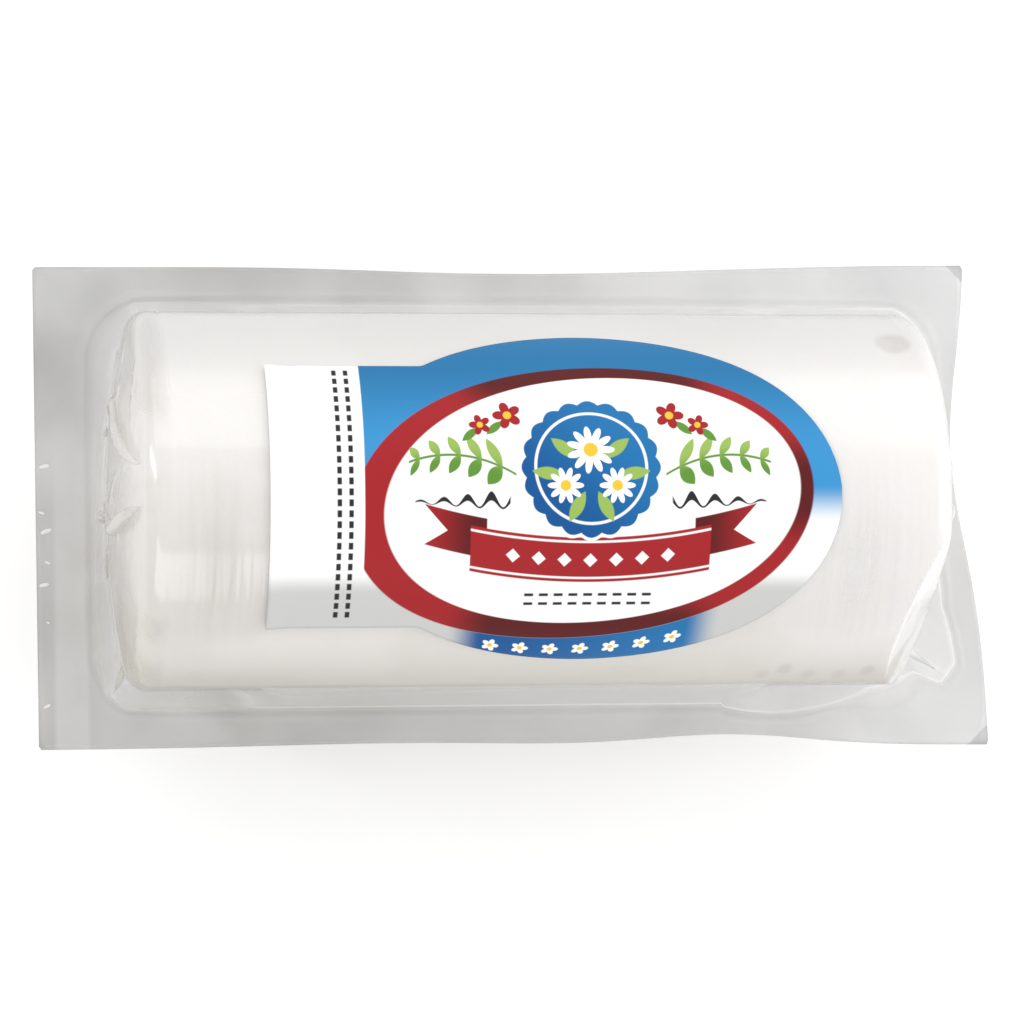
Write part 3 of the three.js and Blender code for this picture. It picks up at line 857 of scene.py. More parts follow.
def merged(mesh, distance):
    """The mesh with its coincident points joined, smooth shaded."""
    work = bmesh.new()
    work.from_mesh(mesh)
    bmesh.ops.remove_doubles(work, verts=work.verts, dist=distance)
    bmesh.ops.dissolve_degenerate(work, edges=work.edges, dist=distance)
    for face in work.faces:
        face.smooth = True
    work.to_mesh(mesh)
    work.free()


def milkiness(rings):
    """How milky the film is at each point, from 0 to 1: little where it clings to the cheese,
    more where it hangs free, and most where the two webs are welded."""
    last = rings.shape[1] - 1
    landing = UPPER_ROWS + SKIRT_ROWS
    edge = landing + LANDING_ROWS + BEAD_ROWS + FLANGE_ROWS
    stops = [0, UPPER_ROWS - 6, UPPER_ROWS + 4, landing, landing + 4, edge]
    stops += [edge + 1, edge + UNDER_FLANGE_ROWS, last]
    return np.interp(np.arange(last + 1), stops, MILKINESS)[:, None] * np.ones(rings.shape[2])


def smeared(rings):
    """1 where the slack film on the end faces and the pressed corner is smeared with curd."""
    above_seal = rings[2] - SEAL_Z
    past_rim = ramp(np.abs(rings[0] - MIDDLE_X), *SMEAR_PAST_RIM)
    on_corner = ramp(past_facet(rings), *SMEAR_ON_CORNER)
    on_end = past_rim * ramp(above_seal, *SMEAR_OFF_SEAL)
    return np.maximum(on_end, on_corner * ramp(above_seal, *SMEAR_OVER_SKIRT))


def folded(rings):
    """1 along the thin line where the film folds down to the seal, and 0 elsewhere."""
    on_line = np.arange(rings.shape[1]) == UPPER_ROWS + SKIRT_ROWS
    in_front = ramp(FOLD_BACK_Y - rings[1], *FOLD_IN_FRONT)
    at_right = ramp(rings[0], *FOLD_AT_RIGHT)
    return on_line[:, None] * np.maximum(in_front, at_right)


def cloudy(rings):
    """Soft clouds from 0 to 1 over the film, a few to each two centimetres."""
    points = (rings.reshape(3, -1).T * CLOUDS_TO_MM).tolist()
    found = [noise.fractal(point, 1.0, 2.0, 3) for point in points]
    return np.clip(0.5 + CLOUD_CONTRAST * np.array(found), 0, 1)


def gathered(rings):
    """1 where the film is drawn into fine gathers round the log, by its two ends."""
    arc = FILM_RADIUS * np.arctan2(rings[1], rings[2] - AXIS_Z)
    level = np.zeros(rings.shape[1:])
    for x, middle, half_x, half_arc in GATHERS:
        patch = bell((rings[0] - x) / half_x) * bell((arc - middle) / half_arc)
        level = np.maximum(level, patch)
    return level * (rings[2] > SEAL_Z + GATHER_OVER_SEAL)


def unsealed_corners(bench, x, y):
    """1 in the small triangles at the right corners, where the webs aren't welded."""
    found = 0
    for corner_x, corner_y in OPEN_CORNERS:
        away = abs(x - corner_x) + abs(y - corner_y)
        found = bench.smooth(away, *OPEN_CORNER_EDGE) + found
    return found


def film_haze(bench, streaks, open_corner):
    """How much of the light each point of the film scatters."""
    clouds = bench.attribute("clouds")
    smear_haze = lerp(*SMEAR_HAZE, bench.smooth(clouds, *CLOUD_LEVELS))
    haze = bench.attribute("haze") * lerp(*MILK_HAZE, clouds)
    haze = haze + bench.attribute("smear") * smear_haze
    haze = haze + bench.attribute("gather") * GATHER_HAZE * streaks
    return haze + bench.attribute("fold") * FOLD_HAZE + open_corner * OPEN_CORNER_HAZE


def film_tint(bench, x, y, z, rightward, open_corner):
    """The colour of what the film scatters: greyer to the left and lighter to the right as painted
    shade and light, with painted shade at the back left and the front left foot, a painted highlight
    on the fold, and whiter where it is smeared.
    """
    welded = bench.both(abs(x - WELD_X), WELD_EDGE, z, WELD_BELOW_Z)
    welded = welded * WELD_SHARE * bench.smooth(y, *WELD_FRONT_Y)
    # painted shade on the back left of the flange
    painted_shade_back_left = bench.both(y, PAINTED_SHADE_BACK_LEFT["y"], x, PAINTED_SHADE_BACK_LEFT["x"])
    # painted shade on the smear at the front left foot
    painted_foot_shade = bench.both(y, PAINTED_SHADE_FRONT_LEFT["y"], x, PAINTED_SHADE_FRONT_LEFT["x"])
    # the smear's tint: painted shade at the left end, painted light at the right end
    smear_tint = bench.blend(rightward, SMEAR_PAINTED_SHADE_LEFT, SMEAR_PAINTED_LIGHT_RIGHT)
    smear_tint = bench.blend(painted_foot_shade, smear_tint, SMEAR_FOOT_PAINTED_SHADE)
    # painted shade to the left and painted light to the right on the webs
    tint = bench.blend(rightward, WEB_PAINTED_SHADE_LEFT, WEB_PAINTED_LIGHT_RIGHT)
    tint = bench.blend(welded, tint, WEB_WELDED)
    tint = bench.blend(painted_shade_back_left * PAINTED_SHADE_BACK_LEFT_SHARE, tint, WEB_PAINTED_SHADE_BACK_LEFT)
    # whitened: the smeared film as milky film, and the fold line as a painted highlight
    whitened = bench.most(bench.attribute("smear"), bench.attribute("fold") * FOLD_HIGHLIGHT_SHARE)
    tint = bench.blend(whitened, tint, smear_tint)
    return bench.blend(open_corner, tint, WEB_OPEN)


def film_finish():
    made, bench, shader = new_finish("clear_film", {"IOR": 1.5})
    place = bench.object_place()
    x, y, z = bench.parts(place)
    smear = bench.attribute("smear")
    streaks = bench.clouds(place, **STREAKS)
    open_corner = unsealed_corners(bench, x, y)
    rightward = bench.smooth(x, *RIGHTWARD_X)
    haze = film_haze(bench, streaks, open_corner)
    facing = bench.node("ShaderNodeLayerWeight", None, {"Blend": 0.25}, "Facing")
    gloss = lerp(*GLOSS, facing**3)
    shine = gloss / (gloss + haze)
    tint = film_tint(bench, x, y, z, rightward, open_corner)
    feed(bench, shader["Base Color"], bench.blend(shine, tint, SHINE_COLOUR))
    feed(bench, shader["Metallic"], shine)
    to_back = bench.most(bench.smooth(y, *BACKWARD_Y), rightward * RIGHT_SOFT_SHARE)
    softness = SOFTNESS["least"] + SOFTNESS["back"] * to_back * (1 - smear)
    softness = softness + SOFTNESS["haze"] * haze + SOFTNESS["milk"] * bench.attribute("haze")
    feed(bench, shader["Roughness"], softness)
    wrinkled = bench.attribute("gather") + smear * lerp(*SMEAR_RELIEF, rightward)
    emboss(bench, shader, streaks * wrinkled, strength=0.5, distance=0.6)
    clear = bench.node("ShaderNodeBsdfTransparent")
    film = Wire(bench, made.node_tree.nodes["Principled BSDF"].outputs[0])
    sockets = {0: bench.clamped(gloss + haze), 1: clear, 2: film}
    surface = made.node_tree.nodes["Material Output"].inputs["Surface"]
    feed(bench, surface, bench.node("ShaderNodeMixShader", None, sockets))
    return made


def clear_film():
    columns = Columns()
    front = front_rings(columns)
    front = settled(columns, front, 1)
    front = settled(columns, front, -1)
    rings = pressed_in(np.concatenate([front, back_rings(columns)], axis=1))
    mesh = film_mesh(rings)
    looks = {"haze": milkiness, "smear": smeared, "gather": gathered}
    looks |= {"fold": folded, "clouds": cloudy}
    for name, measure in looks.items():
        write_attribute(mesh, name, measure(rings))
    merged(mesh, distance=1e-7)
    mesh.materials.append(film_finish())
    piece = new_object("clear_film", mesh)
    piece.visible_shadow = False  # this line and the next shorten the render
    piece.visible_diffuse = False
    return piece


# the crimps' near-white colour is a painted glint, the light that small clear crimps catch
def crimp_finish():
    made, bench, shader = new_finish("crimped_film", {"Roughness": 0.25, "IOR": 1.5})
    mottle = bench.clouds(bench.object_place(), **CRIMP_MOTTLE)
    feed(bench, shader["Base Color"], bench.blend(mottle, CRIMP_PAINTED_GLINT, CRIMP_PAINTED_GLINT_PALE))
    return made


def seal_crimps():
    """A row of small oblong crimps along the left edge of the seal, of uneven size, coloured
    near-white as painted glints.
    """
    sizes = {
        "From X": CRIMP_FROM[0] * MM,
        "From Y": CRIMP_FROM[1] * MM,
        "To X": CRIMP_TO[0] * MM,
        "To Y": CRIMP_TO[1] * MM,
        "Height": (SEAL_Z + WEB_HALF) * MM,
        "Half Length": CRIMP_HALF[0] * MM,
        "Half Width": CRIMP_HALF[1] * MM,
        "Rise": CRIMP_HALF[2] * MM,
        "Count": CRIMPS,
        "Seed": 4,
    }
    bench, given = new_growth("seal_crimps_growth", sizes)
    start = bench.joined(given["From X"], given["From Y"], given["Height"])
    finish = bench.joined(given["To X"], given["To Y"], given["Height"])
    sockets = {"Start Location": start, "Offset": finish, "Count": given["Count"]}
    row = bench.node("GeometryNodeMeshLine", {"mode": "END_POINTS"}, sockets)
    ball = bench.node("GeometryNodeMeshIcoSphere", None, {"Radius": 1.0, "Subdivisions": 2})
    oblong = bench.joined(given["Half Length"], given["Half Width"], given["Rise"])
    shaped = bench.node("GeometryNodeTransform", None, {"Geometry": ball, "Scale": oblong})
    seed = given["Seed"]
    kind, ends = "FunctionNodeRandomValue", {0: CRIMP_DRIFT[0], 1: CRIMP_DRIFT[1], 8: seed}
    drift = bench.node(kind, {"data_type": "FLOAT_VECTOR"}, ends)
    size = bench.node(kind, None, {2: CRIMP_SIZE[0], 3: CRIMP_SIZE[1], 8: seed}, 1)
    turn = bench.node(kind, None, {2: CRIMP_TURN[0], 3: CRIMP_TURN[1], 8: seed}, 1)
    places = bench.node("GeometryNodeSetPosition", None, {"Geometry": row, "Offset": drift})
    sockets = {"Points": places, "Instance": shaped, "Rotation": bench.joined(0.0, 0.0, turn)}
    set_out = bench.node("GeometryNodeInstanceOnPoints", None, {**sockets, "Scale": size})
    return grown("seal_crimps", bench, sizes, set_out, crimp_finish())


film = clear_film()
settle_in(film, "clear_film", "vacuum_pack")
crimps = seal_crimps()
settle_in(crimps, "clear_film")

# The label: one die-cut sticker of coated paper, a tab joined to an oval, pressed on over the
# film and wrapped round the front of the log. It is printed in blue, red and white; the tab's
# free edge stands a little proud of the film.

LABEL_OVAL = {"x": 5.3, "across": -1.7, "half_length": 54.8, "half_width": 41.0}
LABEL_OVAL_POWER = 1.9  # 2 would be a true ellipse; the die is a little more pointed
LABEL_TAB = {"left": -63.3, "right": -26.0, "top": 29.1, "bottom": -31.8}
LABEL_GAP = 0.06
PAPER_THICKNESS = 0.14
EDGE_CURL = 0.5
EDGE_CURL_REACH = 2.5
LABEL_COLUMNS = 220
LABEL_ROWS = 90
FIELD_LEFT = -43.2  # where the white tab ends and the blue field starts
FIELD_FADE = (1.0, -9.0)  # the height over which the blue field turns to bare paper
FIELD_PALE_Y = (30.0, 8.0)
PAPER_PAINTED_SHADE_Y = (-17.0, -23.0)
FIELD_MOTTLE = {"scale": 0.045, "detail": 1, "roughness": 0.5}
FIELD_PALE = (0.75, 1.15)
RING_DARK = {"right_x": (36, 52), "right_y": (14, 4), "ends_x": (32, 20), "ends_y": (19, 27)}
RING_DARK |= {"drop": 3}
RING_OUTER = {"x": 3.8, "y": -3.3, "rx": 50.2, "ry": 31.7, "tilt": 6.1}
RING_INNER = {"x": 5.9, "y": -2.5, "rx": 45.2, "ry": 28.0, "tilt": 6.1}
DESIGN_X = 5.4  # the design inside the ring is the same on both sides of this line
ROSETTE = {"y": 4.6, "radius": 14.2, "scallops": 20, "line": 12.0, "line_half": 0.3}
ROSETTE |= {"scallop": 0.9, "border": 0.7, "shade": (-8, 26)}
DAISIES = ((0.0, 8.4, 5.2, 11), (-5.6, 0.7, 3.9, 10), (5.6, 0.7, 3.9, 10))
BOUQUET_LEAVES = ((5.6, 8.7, 38.0), (9.2, 3.3, 8.0), (3.1, -3.8, -62.0))
DAISY_HEART = 0.3  # of the flower's radius
BOUQUET_LEAF_HALF = (3.6, 1.35)
SPRIG_LEAF = {"degrees": 58.0, "half_length": 2.9, "half_width": 1.25}
POPPY_LEAF = {"degrees": -40.0, "half_length": 2.4, "half_width": 0.9}
RIBBON = {"y": -15.4, "rise": 0.0040, "half_length": 26.0, "half_width": 5.0}
RIBBON_HEM = {"in": 0.95, "half_width": 0.24}
RIBBON_TAIL = {"from": 22.5, "to": 36.0, "notch": 5.0, "lift": 2.8, "half_width": 4.3}
RIBBON_DIAMONDS = {"count": 7, "spacing": 5.6, "size": 1.5}
SPRIG = {"from": 16.2, "y": 3.0, "rise": 0.60, "fall": 0.021, "spacing": 4.3, "pairs": 5}
SPRIG |= {"tip": 0.35, "half_width": 0.28, "size": 1.15, "shrink": 0.1, "light": (-2.0, 2.5)}
SPRIG_LEAF_OFF = (0.3, 2.3)
FLOURISH = {"from": 17.5, "to": 38.0, "y": -2.8, "height": 1.3, "wave": 5.1, "line": 1.0}
FLOURISH |= {"taper": 1.2, "weight": (0.62, 1.0), "edge": 0.02}
POPPIES = ((17.6, 16.2, 3.2), (23.6, 14.0, 2.4))
POPPY = {"petals": 5, "heart": 0.28, "leaf_off": 0.9}
RULES_Y = (-23.4, -25.6)
RULE_DASHES = {"half_length": 14.4, "spacing": 3.2, "share": 0.62, "half_width": 0.36}
TAB_RULES_X = (-48.6, -46.1)
TAB_DASHES = {"y": -0.6, "half_length": 28.4, "spacing": 2.3, "share": 0.66, "half_width": 0.5}
FOOT_PANEL = {"half_length": 26.0, "top": -20.0, "y": -38.8, "bow": 0.0065, "slope": 0.055}
FOOT_PANEL |= {"fade": 4, "shade_x": (-22, 24)}
FOOT_FLOWERS = {"count": 7, "spacing": 6.6, "radius": 1.9, "petals": 5}

PAPER_WHITE = (0.93, 0.93, 0.92, 1)
PAPER_PAINTED_SHADE = (0.56, 0.565, 0.545, 1)
FIELD_BLUE = (0.016, 0.165, 0.37, 1)
FIELD_PALE_BLUE = (0.040, 0.275, 0.58, 1)
DEEP_BLUE = (0.004, 0.085, 0.28, 1)
BRIGHT_DEEP_BLUE = (0.012, 0.16, 0.40, 1)
RING_RED = (0.35, 0.014, 0.018, 1)
RING_DARK_RED = (0.10, 0.007, 0.008, 1)
LEAF_GREEN = (0.11, 0.27, 0.035, 1)
LEAF_PALE_GREEN = (0.30, 0.46, 0.10, 1)
LINE_DARK = (0.02, 0.02, 0.022, 1)
DAISY_YELLOW = (0.85, 0.52, 0.04, 1)
INK_EDGE = 0.25  # how far a printed edge takes to turn from one ink to the next
FIBRES = {"scale": 1400, "detail": 3, "roughness": 0.6}
PAPER_ROUGHNESS = (0.38, 0.53)
TIP_TURN = math.pi / 2 - 0.03  # just short of a right angle, so that the tip keeps a width


class Print:
    """Fields of ink on the label's own flat place, in millimetres. Each shape is a wire that
    is 1 inside it and 0 outside."""

    def __init__(self, bench, paper):
        self.bench = bench
        self.x, self.y, _ = bench.parts(bench.attribute("print_place", "Vector"))
        self.aside = abs(self.x - DESIGN_X)
        self.colour = paper

    def ink(self, shape, colour):
        self.colour = self.bench.blend(shape, self.colour, colour)

    def below(self, value, limit, edge=INK_EDGE):
        return self.bench.clamped((limit - value) / edge + 0.5)

    def oval(self, x, y, rx, ry, tilt):
        cosine, sine = math.cos(math.radians(tilt)), math.sin(math.radians(tilt))
        from_x, from_y = self.x - x, self.y - y
        along = from_x * (cosine / rx) + from_y * (sine / rx)
        across = from_y * (cosine / ry) - from_x * (sine / ry)
        return self.below(self.bench.out_from(along, across), 1.0, INK_EDGE / min(rx, ry))

    def flower(self, x, y, radius, petals):
        """A flower whose middle is x and y away."""
        angle = self.bench.maths("ARCTAN2", y, x)
        petal = abs(self.bench.maths("COSINE", angle * (petals / 2)))
        return self.below(self.bench.out_from(x, y), radius * (0.5 + 0.5 * petal))

    def heart(self, x, y, radius):
        return self.below(self.bench.out_from(x, y), radius)

    def leaf(self, x, y, degrees, half_length, half_width):
        """A pointed leaf whose middle is x and y away."""
        cosine, sine = math.cos(math.radians(degrees)), math.sin(math.radians(degrees))
        along = x * cosine + y * sine
        across = y * cosine - x * sine
        return self.below(abs(across), half_width * (1 - (along / half_length) ** 2))

    def dashes(self, place, spacing, share):
        """Dashes along a line, each filling a share of its spacing."""
        cell = place / spacing
        return self.below(abs(cell - self.bench.maths("ROUND", cell)), share / 2, INK_EDGE / spacing)


def print_field(sheet):
    """The blue field, which fades out downwards to paper darkened by painted shade, and the red ring
    on it.
    """
    bench, x, y = sheet.bench, sheet.x, sheet.y
    # painted shade: the paper low on the label, where it curves away from the light, is greyed in
    # its colour
    sheet.ink(bench.smooth(y, *PAPER_PAINTED_SHADE_Y), PAPER_PAINTED_SHADE)
    on_field = sheet.below(FIELD_LEFT - x, 0)
    mottled = bench.clouds(bench.joined(x, y, 0), **FIELD_MOTTLE)
    pale = bench.smooth(y, *FIELD_PALE_Y) * lerp(*FIELD_PALE, mottled)
    blue = bench.blend(bench.clamped(pale), FIELD_BLUE, FIELD_PALE_BLUE)
    fade = 1 - bench.smooth(y, *FIELD_FADE)
    sheet.ink(on_field * fade, blue)
    ring = sheet.oval(**RING_OUTER) * on_field
    at_right = bench.both(x, RING_DARK["right_x"], abs(y), RING_DARK["right_y"])
    off_middle = abs(y + RING_DARK["drop"])
    at_ends = bench.both(sheet.aside, RING_DARK["ends_x"], off_middle, RING_DARK["ends_y"])
    sheet.ink(ring, bench.blend(bench.most(at_right, at_ends), RING_RED, RING_DARK_RED))
    sheet.ink(sheet.oval(**RING_INNER), PAPER_WHITE)


def print_foot_panel(sheet):
    """The deep blue panel below the ring, with a row of small white flowers."""
    bench, from_middle = sheet.bench, sheet.x - DESIGN_X
    half, fade = FOOT_PANEL["half_length"], FOOT_PANEL["fade"]
    below_ring = sheet.below(sheet.y, FOOT_PANEL["top"]) * (1 - sheet.oval(**RING_OUTER))
    bright = bench.smooth(from_middle, *FOOT_PANEL["shade_x"])
    shade = bench.blend(bright, DEEP_BLUE, BRIGHT_DEEP_BLUE)
    sheet.ink(below_ring * bench.smooth(sheet.aside, half + fade, half - fade), shade)
    spacing = FOOT_FLOWERS["spacing"]
    nearest = bench.maths("ROUND", from_middle / spacing) * spacing
    sag = FOOT_PANEL["y"] + sheet.aside * sheet.aside * FOOT_PANEL["bow"]
    above = sheet.y - sag - from_middle * FOOT_PANEL["slope"]
    in_row = sheet.below(sheet.aside, spacing * FOOT_FLOWERS["count"] / 2)
    across = from_middle - nearest
    flower = sheet.flower(across, above, FOOT_FLOWERS["radius"], FOOT_FLOWERS["petals"])
    sheet.ink(flower * in_row, PAPER_WHITE)
    heart = sheet.heart(across, above, FOOT_FLOWERS["radius"] * DAISY_HEART)
    sheet.ink(heart * in_row, DAISY_YELLOW)


def print_sprigs(sheet):
    """A leafy sprig on each side, its leaves in pairs that get smaller towards the tip, and
    two poppies above it."""
    bench, spacing = sheet.bench, SPRIG["spacing"]
    along = sheet.aside - SPRIG["from"]
    stem = SPRIG["y"] + along * SPRIG["rise"] - along * along * SPRIG["fall"]
    above = sheet.y - stem
    reach = spacing * (SPRIG["pairs"] + SPRIG["tip"])
    on_stem = sheet.below(abs(along - reach / 2), reach / 2)
    sheet.ink(sheet.below(abs(above), SPRIG["half_width"]) * on_stem, LEAF_GREEN)
    pair = bench.maths("ROUND", along / spacing)
    size = SPRIG["size"] - pair * SPRIG["shrink"]
    along_leaf = (along - pair * spacing - SPRIG_LEAF_OFF[0] * size) / size
    across_leaf = (abs(above) - SPRIG_LEAF_OFF[1] * size) / size
    in_pairs = sheet.below(abs(pair - (SPRIG["pairs"] + 1) / 2), SPRIG["pairs"] / 2)
    leaves = sheet.leaf(along_leaf, across_leaf, **SPRIG_LEAF) * in_pairs
    light = bench.smooth(above, *SPRIG["light"])
    sheet.ink(leaves, bench.blend(light, LEAF_GREEN, LEAF_PALE_GREEN))
    for away, height, radius in POPPIES:
        x, y = sheet.aside - away, sheet.y - height
        off = radius * POPPY["leaf_off"]
        sheet.ink(sheet.leaf(x - off, y + off, **POPPY_LEAF), LEAF_GREEN)
        sheet.ink(sheet.flower(x, y, radius, POPPY["petals"]), RING_RED)
        sheet.ink(sheet.heart(x, y, radius * POPPY["heart"]), DAISY_YELLOW)


def print_rule(sheet, along, across, half_length, spacing, share, half_width):
    """A dashed rule."""
    rule = sheet.below(abs(across), half_width) * sheet.below(abs(along), half_length)
    sheet.ink(rule * sheet.dashes(along, spacing, share), LINE_DARK)


def print_flourishes(sheet):
    """A dark pen flourish on each side, and dashed rules at the foot and on the tab."""
    bench = sheet.bench
    along = (sheet.aside - FLOURISH["from"]) / (FLOURISH["to"] - FLOURISH["from"])
    swing = bench.maths("SINE", sheet.aside * (2 * math.pi / FLOURISH["wave"]))
    taper = bench.clamped(FLOURISH["taper"] - along)
    off_line = sheet.y - FLOURISH["y"] - swing * FLOURISH["height"] * taper
    weight = FLOURISH["line"] * taper * lerp(*FLOURISH["weight"], swing)
    ends = sheet.below(abs(along - 0.5), 0.5, FLOURISH["edge"])
    sheet.ink(sheet.below(abs(off_line), weight) * ends, LINE_DARK)
    for height in RULES_Y:
        print_rule(sheet, sheet.x - DESIGN_X, sheet.y - height, **RULE_DASHES)
    up_the_tab = dict(TAB_DASHES)
    middle = up_the_tab.pop("y")
    for place in TAB_RULES_X:
        print_rule(sheet, sheet.y - middle, sheet.x - place, **up_the_tab)


def print_ribbon(sheet):
    """A red ribbon with swallow tails, hemmed in white and set with small white diamonds."""
    bench, away = sheet.bench, sheet.aside
    height = sheet.y - RIBBON["y"] - away * away * RIBBON["rise"]
    tail_height = height - RIBBON_TAIL["lift"]
    cut = 1 - abs(tail_height) / RIBBON_TAIL["half_width"]
    tail = sheet.below(away, RIBBON_TAIL["to"] - RIBBON_TAIL["notch"] * cut)
    tail = tail * sheet.below(RIBBON_TAIL["from"] - away, 0)
    tail = tail * sheet.below(abs(tail_height), RIBBON_TAIL["half_width"])
    shade = bench.smooth(away, RIBBON_TAIL["to"], RIBBON_TAIL["from"] + 2)
    sheet.ink(tail, bench.blend(shade, RING_RED, RING_DARK_RED))
    band = sheet.below(abs(height), RIBBON["half_width"])
    band = band * sheet.below(away, RIBBON["half_length"])
    sheet.ink(band, RING_RED)
    from_hem = abs(height) - RIBBON["half_width"] + RIBBON_HEM["in"]
    hem = sheet.below(abs(from_hem), RIBBON_HEM["half_width"])
    sheet.ink(hem * band, PAPER_WHITE)
    spacing = RIBBON_DIAMONDS["spacing"]
    nearest = bench.maths("ROUND", (sheet.x - DESIGN_X) / spacing) * spacing
    diamond = abs(sheet.x - DESIGN_X - nearest) + abs(height)
    inside_hem = sheet.below(away, spacing * RIBBON_DIAMONDS["count"] / 2)
    sheet.ink(sheet.below(diamond, RIBBON_DIAMONDS["size"]) * inside_hem, PAPER_WHITE)


def print_rosette(sheet):
    """A scalloped blue rosette with three daisies and their leaves."""
    bench = sheet.bench
    x, y = sheet.x - DESIGN_X, sheet.y - ROSETTE["y"]
    out = bench.out_from(x, y)
    angle = bench.maths("ARCTAN2", y, x)
    scallop = abs(bench.maths("COSINE", angle * (ROSETTE["scallops"] / 2)))
    edge = ROSETTE["radius"] + ROSETTE["scallop"] * scallop
    sheet.ink(sheet.below(out, edge + ROSETTE["border"]), PAPER_WHITE)
    bright = bench.smooth(sheet.x + sheet.y, *ROSETTE["shade"])
    sheet.ink(sheet.below(out, edge), bench.blend(bright, DEEP_BLUE, BRIGHT_DEEP_BLUE))
    sheet.ink(sheet.below(abs(out - ROSETTE["line"]), ROSETTE["line_half"]), PAPER_WHITE)
    for away, height, degrees in BOUQUET_LEAVES:
        x, y = sheet.aside - away, sheet.y - height
        sheet.ink(sheet.leaf(x, y, degrees, *BOUQUET_LEAF_HALF), LEAF_PALE_GREEN)
    for x_place, height, radius, petals in DAISIES:
        x, y = sheet.x - DESIGN_X - x_place, sheet.y - height
        sheet.ink(sheet.flower(x, y, radius, petals), PAPER_WHITE)
        sheet.ink(sheet.heart(x, y, radius * DAISY_HEART), DAISY_YELLOW)


def label_finish():
    constants = {"Roughness": 0.45, "Specular IOR Level": 0.2}
    made, bench, shader = new_finish("printed_label", constants)
    sheet = Print(bench, PAPER_WHITE)
    print_field(sheet)
    print_foot_panel(sheet)
    print_sprigs(sheet)
    print_flourishes(sheet)
    print_ribbon(sheet)
    print_rosette(sheet)
    feed(bench, shader["Base Color"], sheet.colour)
    fibres = bench.clouds(bench.object_place(), **FIBRES)
    emboss(bench, shader, fibres, strength=0.12, distance=0.1)
    feed(bench, shader["Roughness"], lerp(*PAPER_ROUGHNESS, fibres))
    return made


def front_label():
    sizes = {
        "Left": LABEL_TAB["left"],
        "Tab Right": LABEL_TAB["right"],
        "Tab Top": LABEL_TAB["top"],
        "Tab Bottom": LABEL_TAB["bottom"],
        "Oval Middle": LABEL_OVAL["x"],
        "Oval Across": LABEL_OVAL["across"],
        "Half Length": LABEL_OVAL["half_length"],
        "Half Width": LABEL_OVAL["half_width"],
        "Oval Power": LABEL_OVAL_POWER,
        "Roll Radius": FILM_RADIUS + LABEL_GAP,
        "Axis Height": AXIS_Z,
        "Edge Curl": EDGE_CURL,
        "Curl Reach": EDGE_CURL_REACH,
        "Columns": LABEL_COLUMNS,
        "Rows": LABEL_ROWS,
    }
    bench, given = new_growth("front_label_growth", sizes)
    sockets = {"Vertices X": given["Columns"], "Vertices Y": given["Rows"]}
    sheet = bench.node("GeometryNodeMeshGrid", None, {"Size X": 1.0, "Size Y": 1.0, **sockets})
    across, up, _ = bench.parts(bench.node("GeometryNodeInputPosition"))
    tip = given["Oval Middle"] + given["Half Length"]
    towards_tip = bench.maths("SINE", (across + 0.5) * TIP_TURN)
    x = given["Left"] + (tip - given["Left"]) * towards_tip
    along = bench.least(abs(x - given["Oval Middle"]) / given["Half Length"], 1)
    within = bench.most(1 - along ** given["Oval Power"], 0)
    half = given["Half Width"] * within ** (1 / given["Oval Power"])
    on_tab = bench.maths("LESS_THAN", x, given["Tab Right"])
    low = given["Oval Across"] - half
    high = given["Oval Across"] + half
    low = low + on_tab * (bench.least(low, given["Tab Bottom"]) - low)
    high = high + on_tab * (bench.most(high, given["Tab Top"]) - high)
    arc = low + (high - low) * (up + 0.5)
    from_edge = (x - given["Left"]) / given["Curl Reach"]
    curl = given["Edge Curl"] * bench.maths("EXPONENT", 0 - from_edge * from_edge)
    radius = given["Roll Radius"] + curl
    turn = arc / given["Roll Radius"]
    y = radius * bench.maths("SINE", turn)
    z = given["Axis Height"] + radius * bench.maths("COSINE", turn)
    rolled = bench.vector("SCALE", bench.joined(x, y, z))
    rolled.socket.node.inputs["Scale"].default_value = MM
    marked = bench.node(
        "GeometryNodeStoreNamedAttribute",
        {"data_type": "FLOAT_VECTOR", "domain": "POINT"},
        {"Geometry": sheet, "Name": "print_place", "Value": bench.joined(x, arc, 0)},
    )
    shaped = bench.node("GeometryNodeSetPosition", None, {"Geometry": marked, "Position": rolled})
    piece = grown("front_label_paper", bench, sizes, shaped, label_finish())
    wall = piece.modifiers.new("paper", "SOLIDIFY")
    wall.thickness = PAPER_THICKNESS * MM
    wall.offset = 1
    return piece


label = front_label()
settle_in(label, "label_paper", "front_label")

# The studio: a pale table, a tall soft light behind the pack, a weaker one in front, and a
# camera about a metre above it, a little to the left end and the front edge of the log.

CAMERA_DISTANCE = 1.0
CAMERA_TO_LEFT = math.radians(9.95)
CAMERA_TO_FRONT = math.radians(3.32)
CAMERA_ROLL = math.radians(-0.70)
CAMERA_LENS = 158.9
SENSOR_WIDTH = 36.0
PHOTO_SIDE = 1024
AIM_PIXEL = (522.4, 500.3)  # where the middle of the log's axis falls in the photograph
LOG_AIM = (0, 0, 0.03)
ROOM_LEVEL = 0.88
TABLE_HALF = 2.0
TABLE_PALE = (0.97, 0.97, 0.965, 1)
TABLE_GREY = (0.95, 0.95, 0.945, 1)
TABLE_Z = -0.00005  # a hair below the film, so that the two surfaces don't coincide


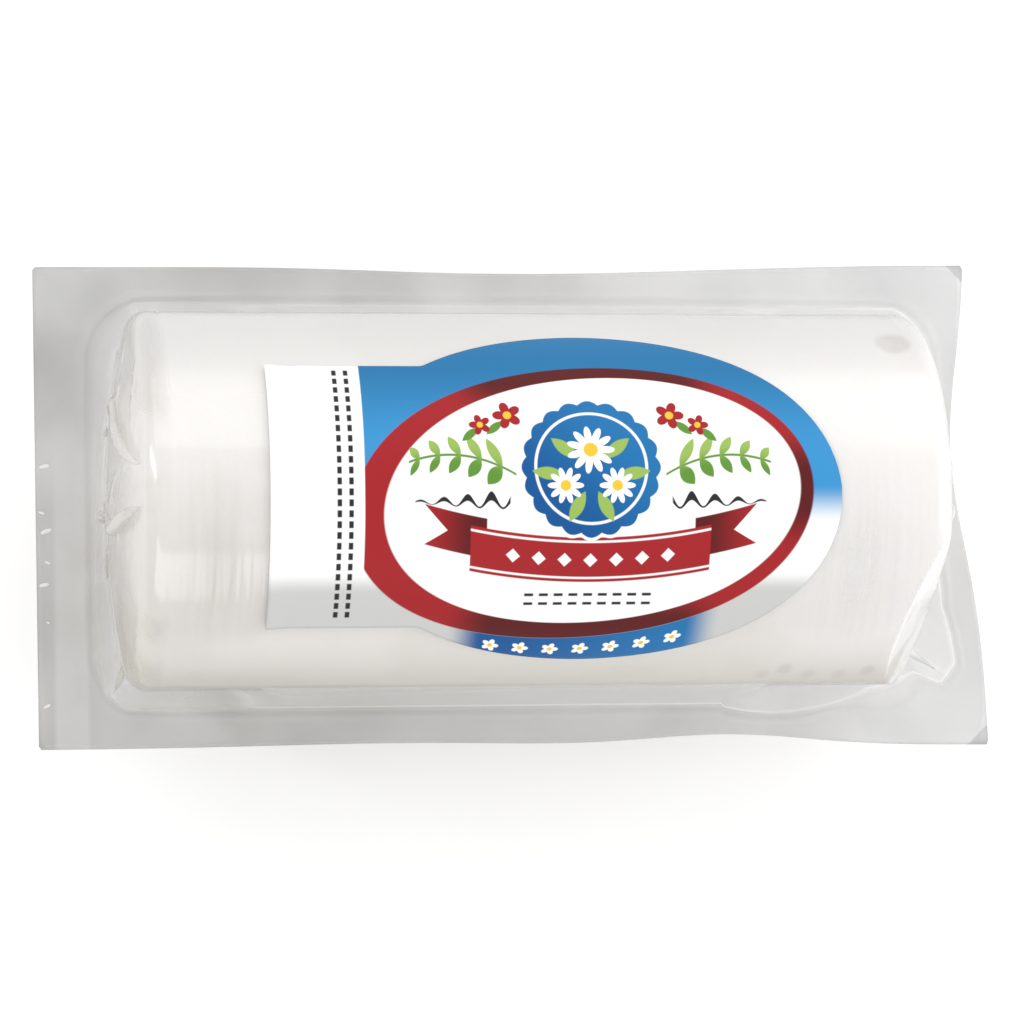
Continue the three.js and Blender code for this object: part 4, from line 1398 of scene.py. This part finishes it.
def table():
    ways = ((-1, -1), (1, -1), (1, 1), (-1, 1))
    corners = [(x * TABLE_HALF, y * TABLE_HALF, TABLE_Z) for x, y in ways]
    mesh = bpy.data.meshes.new("table")
    mesh.from_pydata(corners, [], [(0, 1, 2, 3)])
    made, bench, shader = new_finish("pale_table", {"Roughness": 0.6})
    mottle = bench.clouds(bench.object_place(), scale=3, detail=1)
    feed(bench, shader["Base Color"], bench.blend(mottle, TABLE_PALE, TABLE_GREY))
    mesh.materials.append(made)
    return new_object("table", mesh)


def soft_light(name, place, aim, size, power):
    lamp = bpy.data.lights.new(name, "AREA")
    lamp.shape = "RECTANGLE"
    lamp.size, lamp.size_y = size
    lamp.energy = power
    made = new_object(name, lamp)
    made.location = place
    made.rotation_euler = (Vector(aim) - Vector(place)).to_track_quat("-Z", "Y").to_euler()


def room_light(level):
    world = bpy.data.worlds.new("room")
    world.use_nodes = True
    world.node_tree.nodes["Background"].inputs["Color"].default_value = (level, level, level, 1)
    bpy.context.scene.world = world


def photo_camera():
    lens = bpy.data.cameras.new("camera")
    lens.sensor_width = SENSOR_WIDTH
    lens.lens = CAMERA_LENS
    lens.shift_x = (PHOTO_SIDE / 2 - AIM_PIXEL[0]) / PHOTO_SIDE
    lens.shift_y = (AIM_PIXEL[1] - PHOTO_SIDE / 2) / PHOTO_SIDE
    away_x, away_y = -math.sin(CAMERA_TO_LEFT), -math.sin(CAMERA_TO_FRONT)
    away = Vector((away_x, away_y, math.sqrt(1 - away_x**2 - away_y**2)))
    level = (-away).cross(Vector((0, 1, 0))).normalized()
    upright = level.cross(-away)
    turn = Matrix((level, upright, away)).transposed() @ Matrix.Rotation(CAMERA_ROLL, 3, "Z")
    aim = Vector((MIDDLE_X * MM, 0, AXIS_Z * MM))
    made = new_object("camera", lens)
    made.matrix_world = Matrix.Translation(aim + away * CAMERA_DISTANCE) @ turn.to_4x4()
    bpy.context.scene.camera = made


floor = table()
soft_light("back_softbox", (0.0, 1.5, 1.1), LOG_AIM, size=(2.8, 1.8), power=9.6)
soft_light("right_softbox", (0.9, 0.1, 0.5), LOG_AIM, size=(0.7, 0.9), power=3.2)
soft_light("front_fill", (-0.3, -0.9, 0.9), LOG_AIM, size=(0.9, 0.7), power=2.3)
soft_light("left_strip", (-0.75, 0.25, 0.6), (-0.08, 0, 0.03), size=(0.08, 0.6), power=0.9)
room_light(ROOM_LEVEL)
photo_camera()
bpy.context.scene.view_settings.view_transform = "Standard"
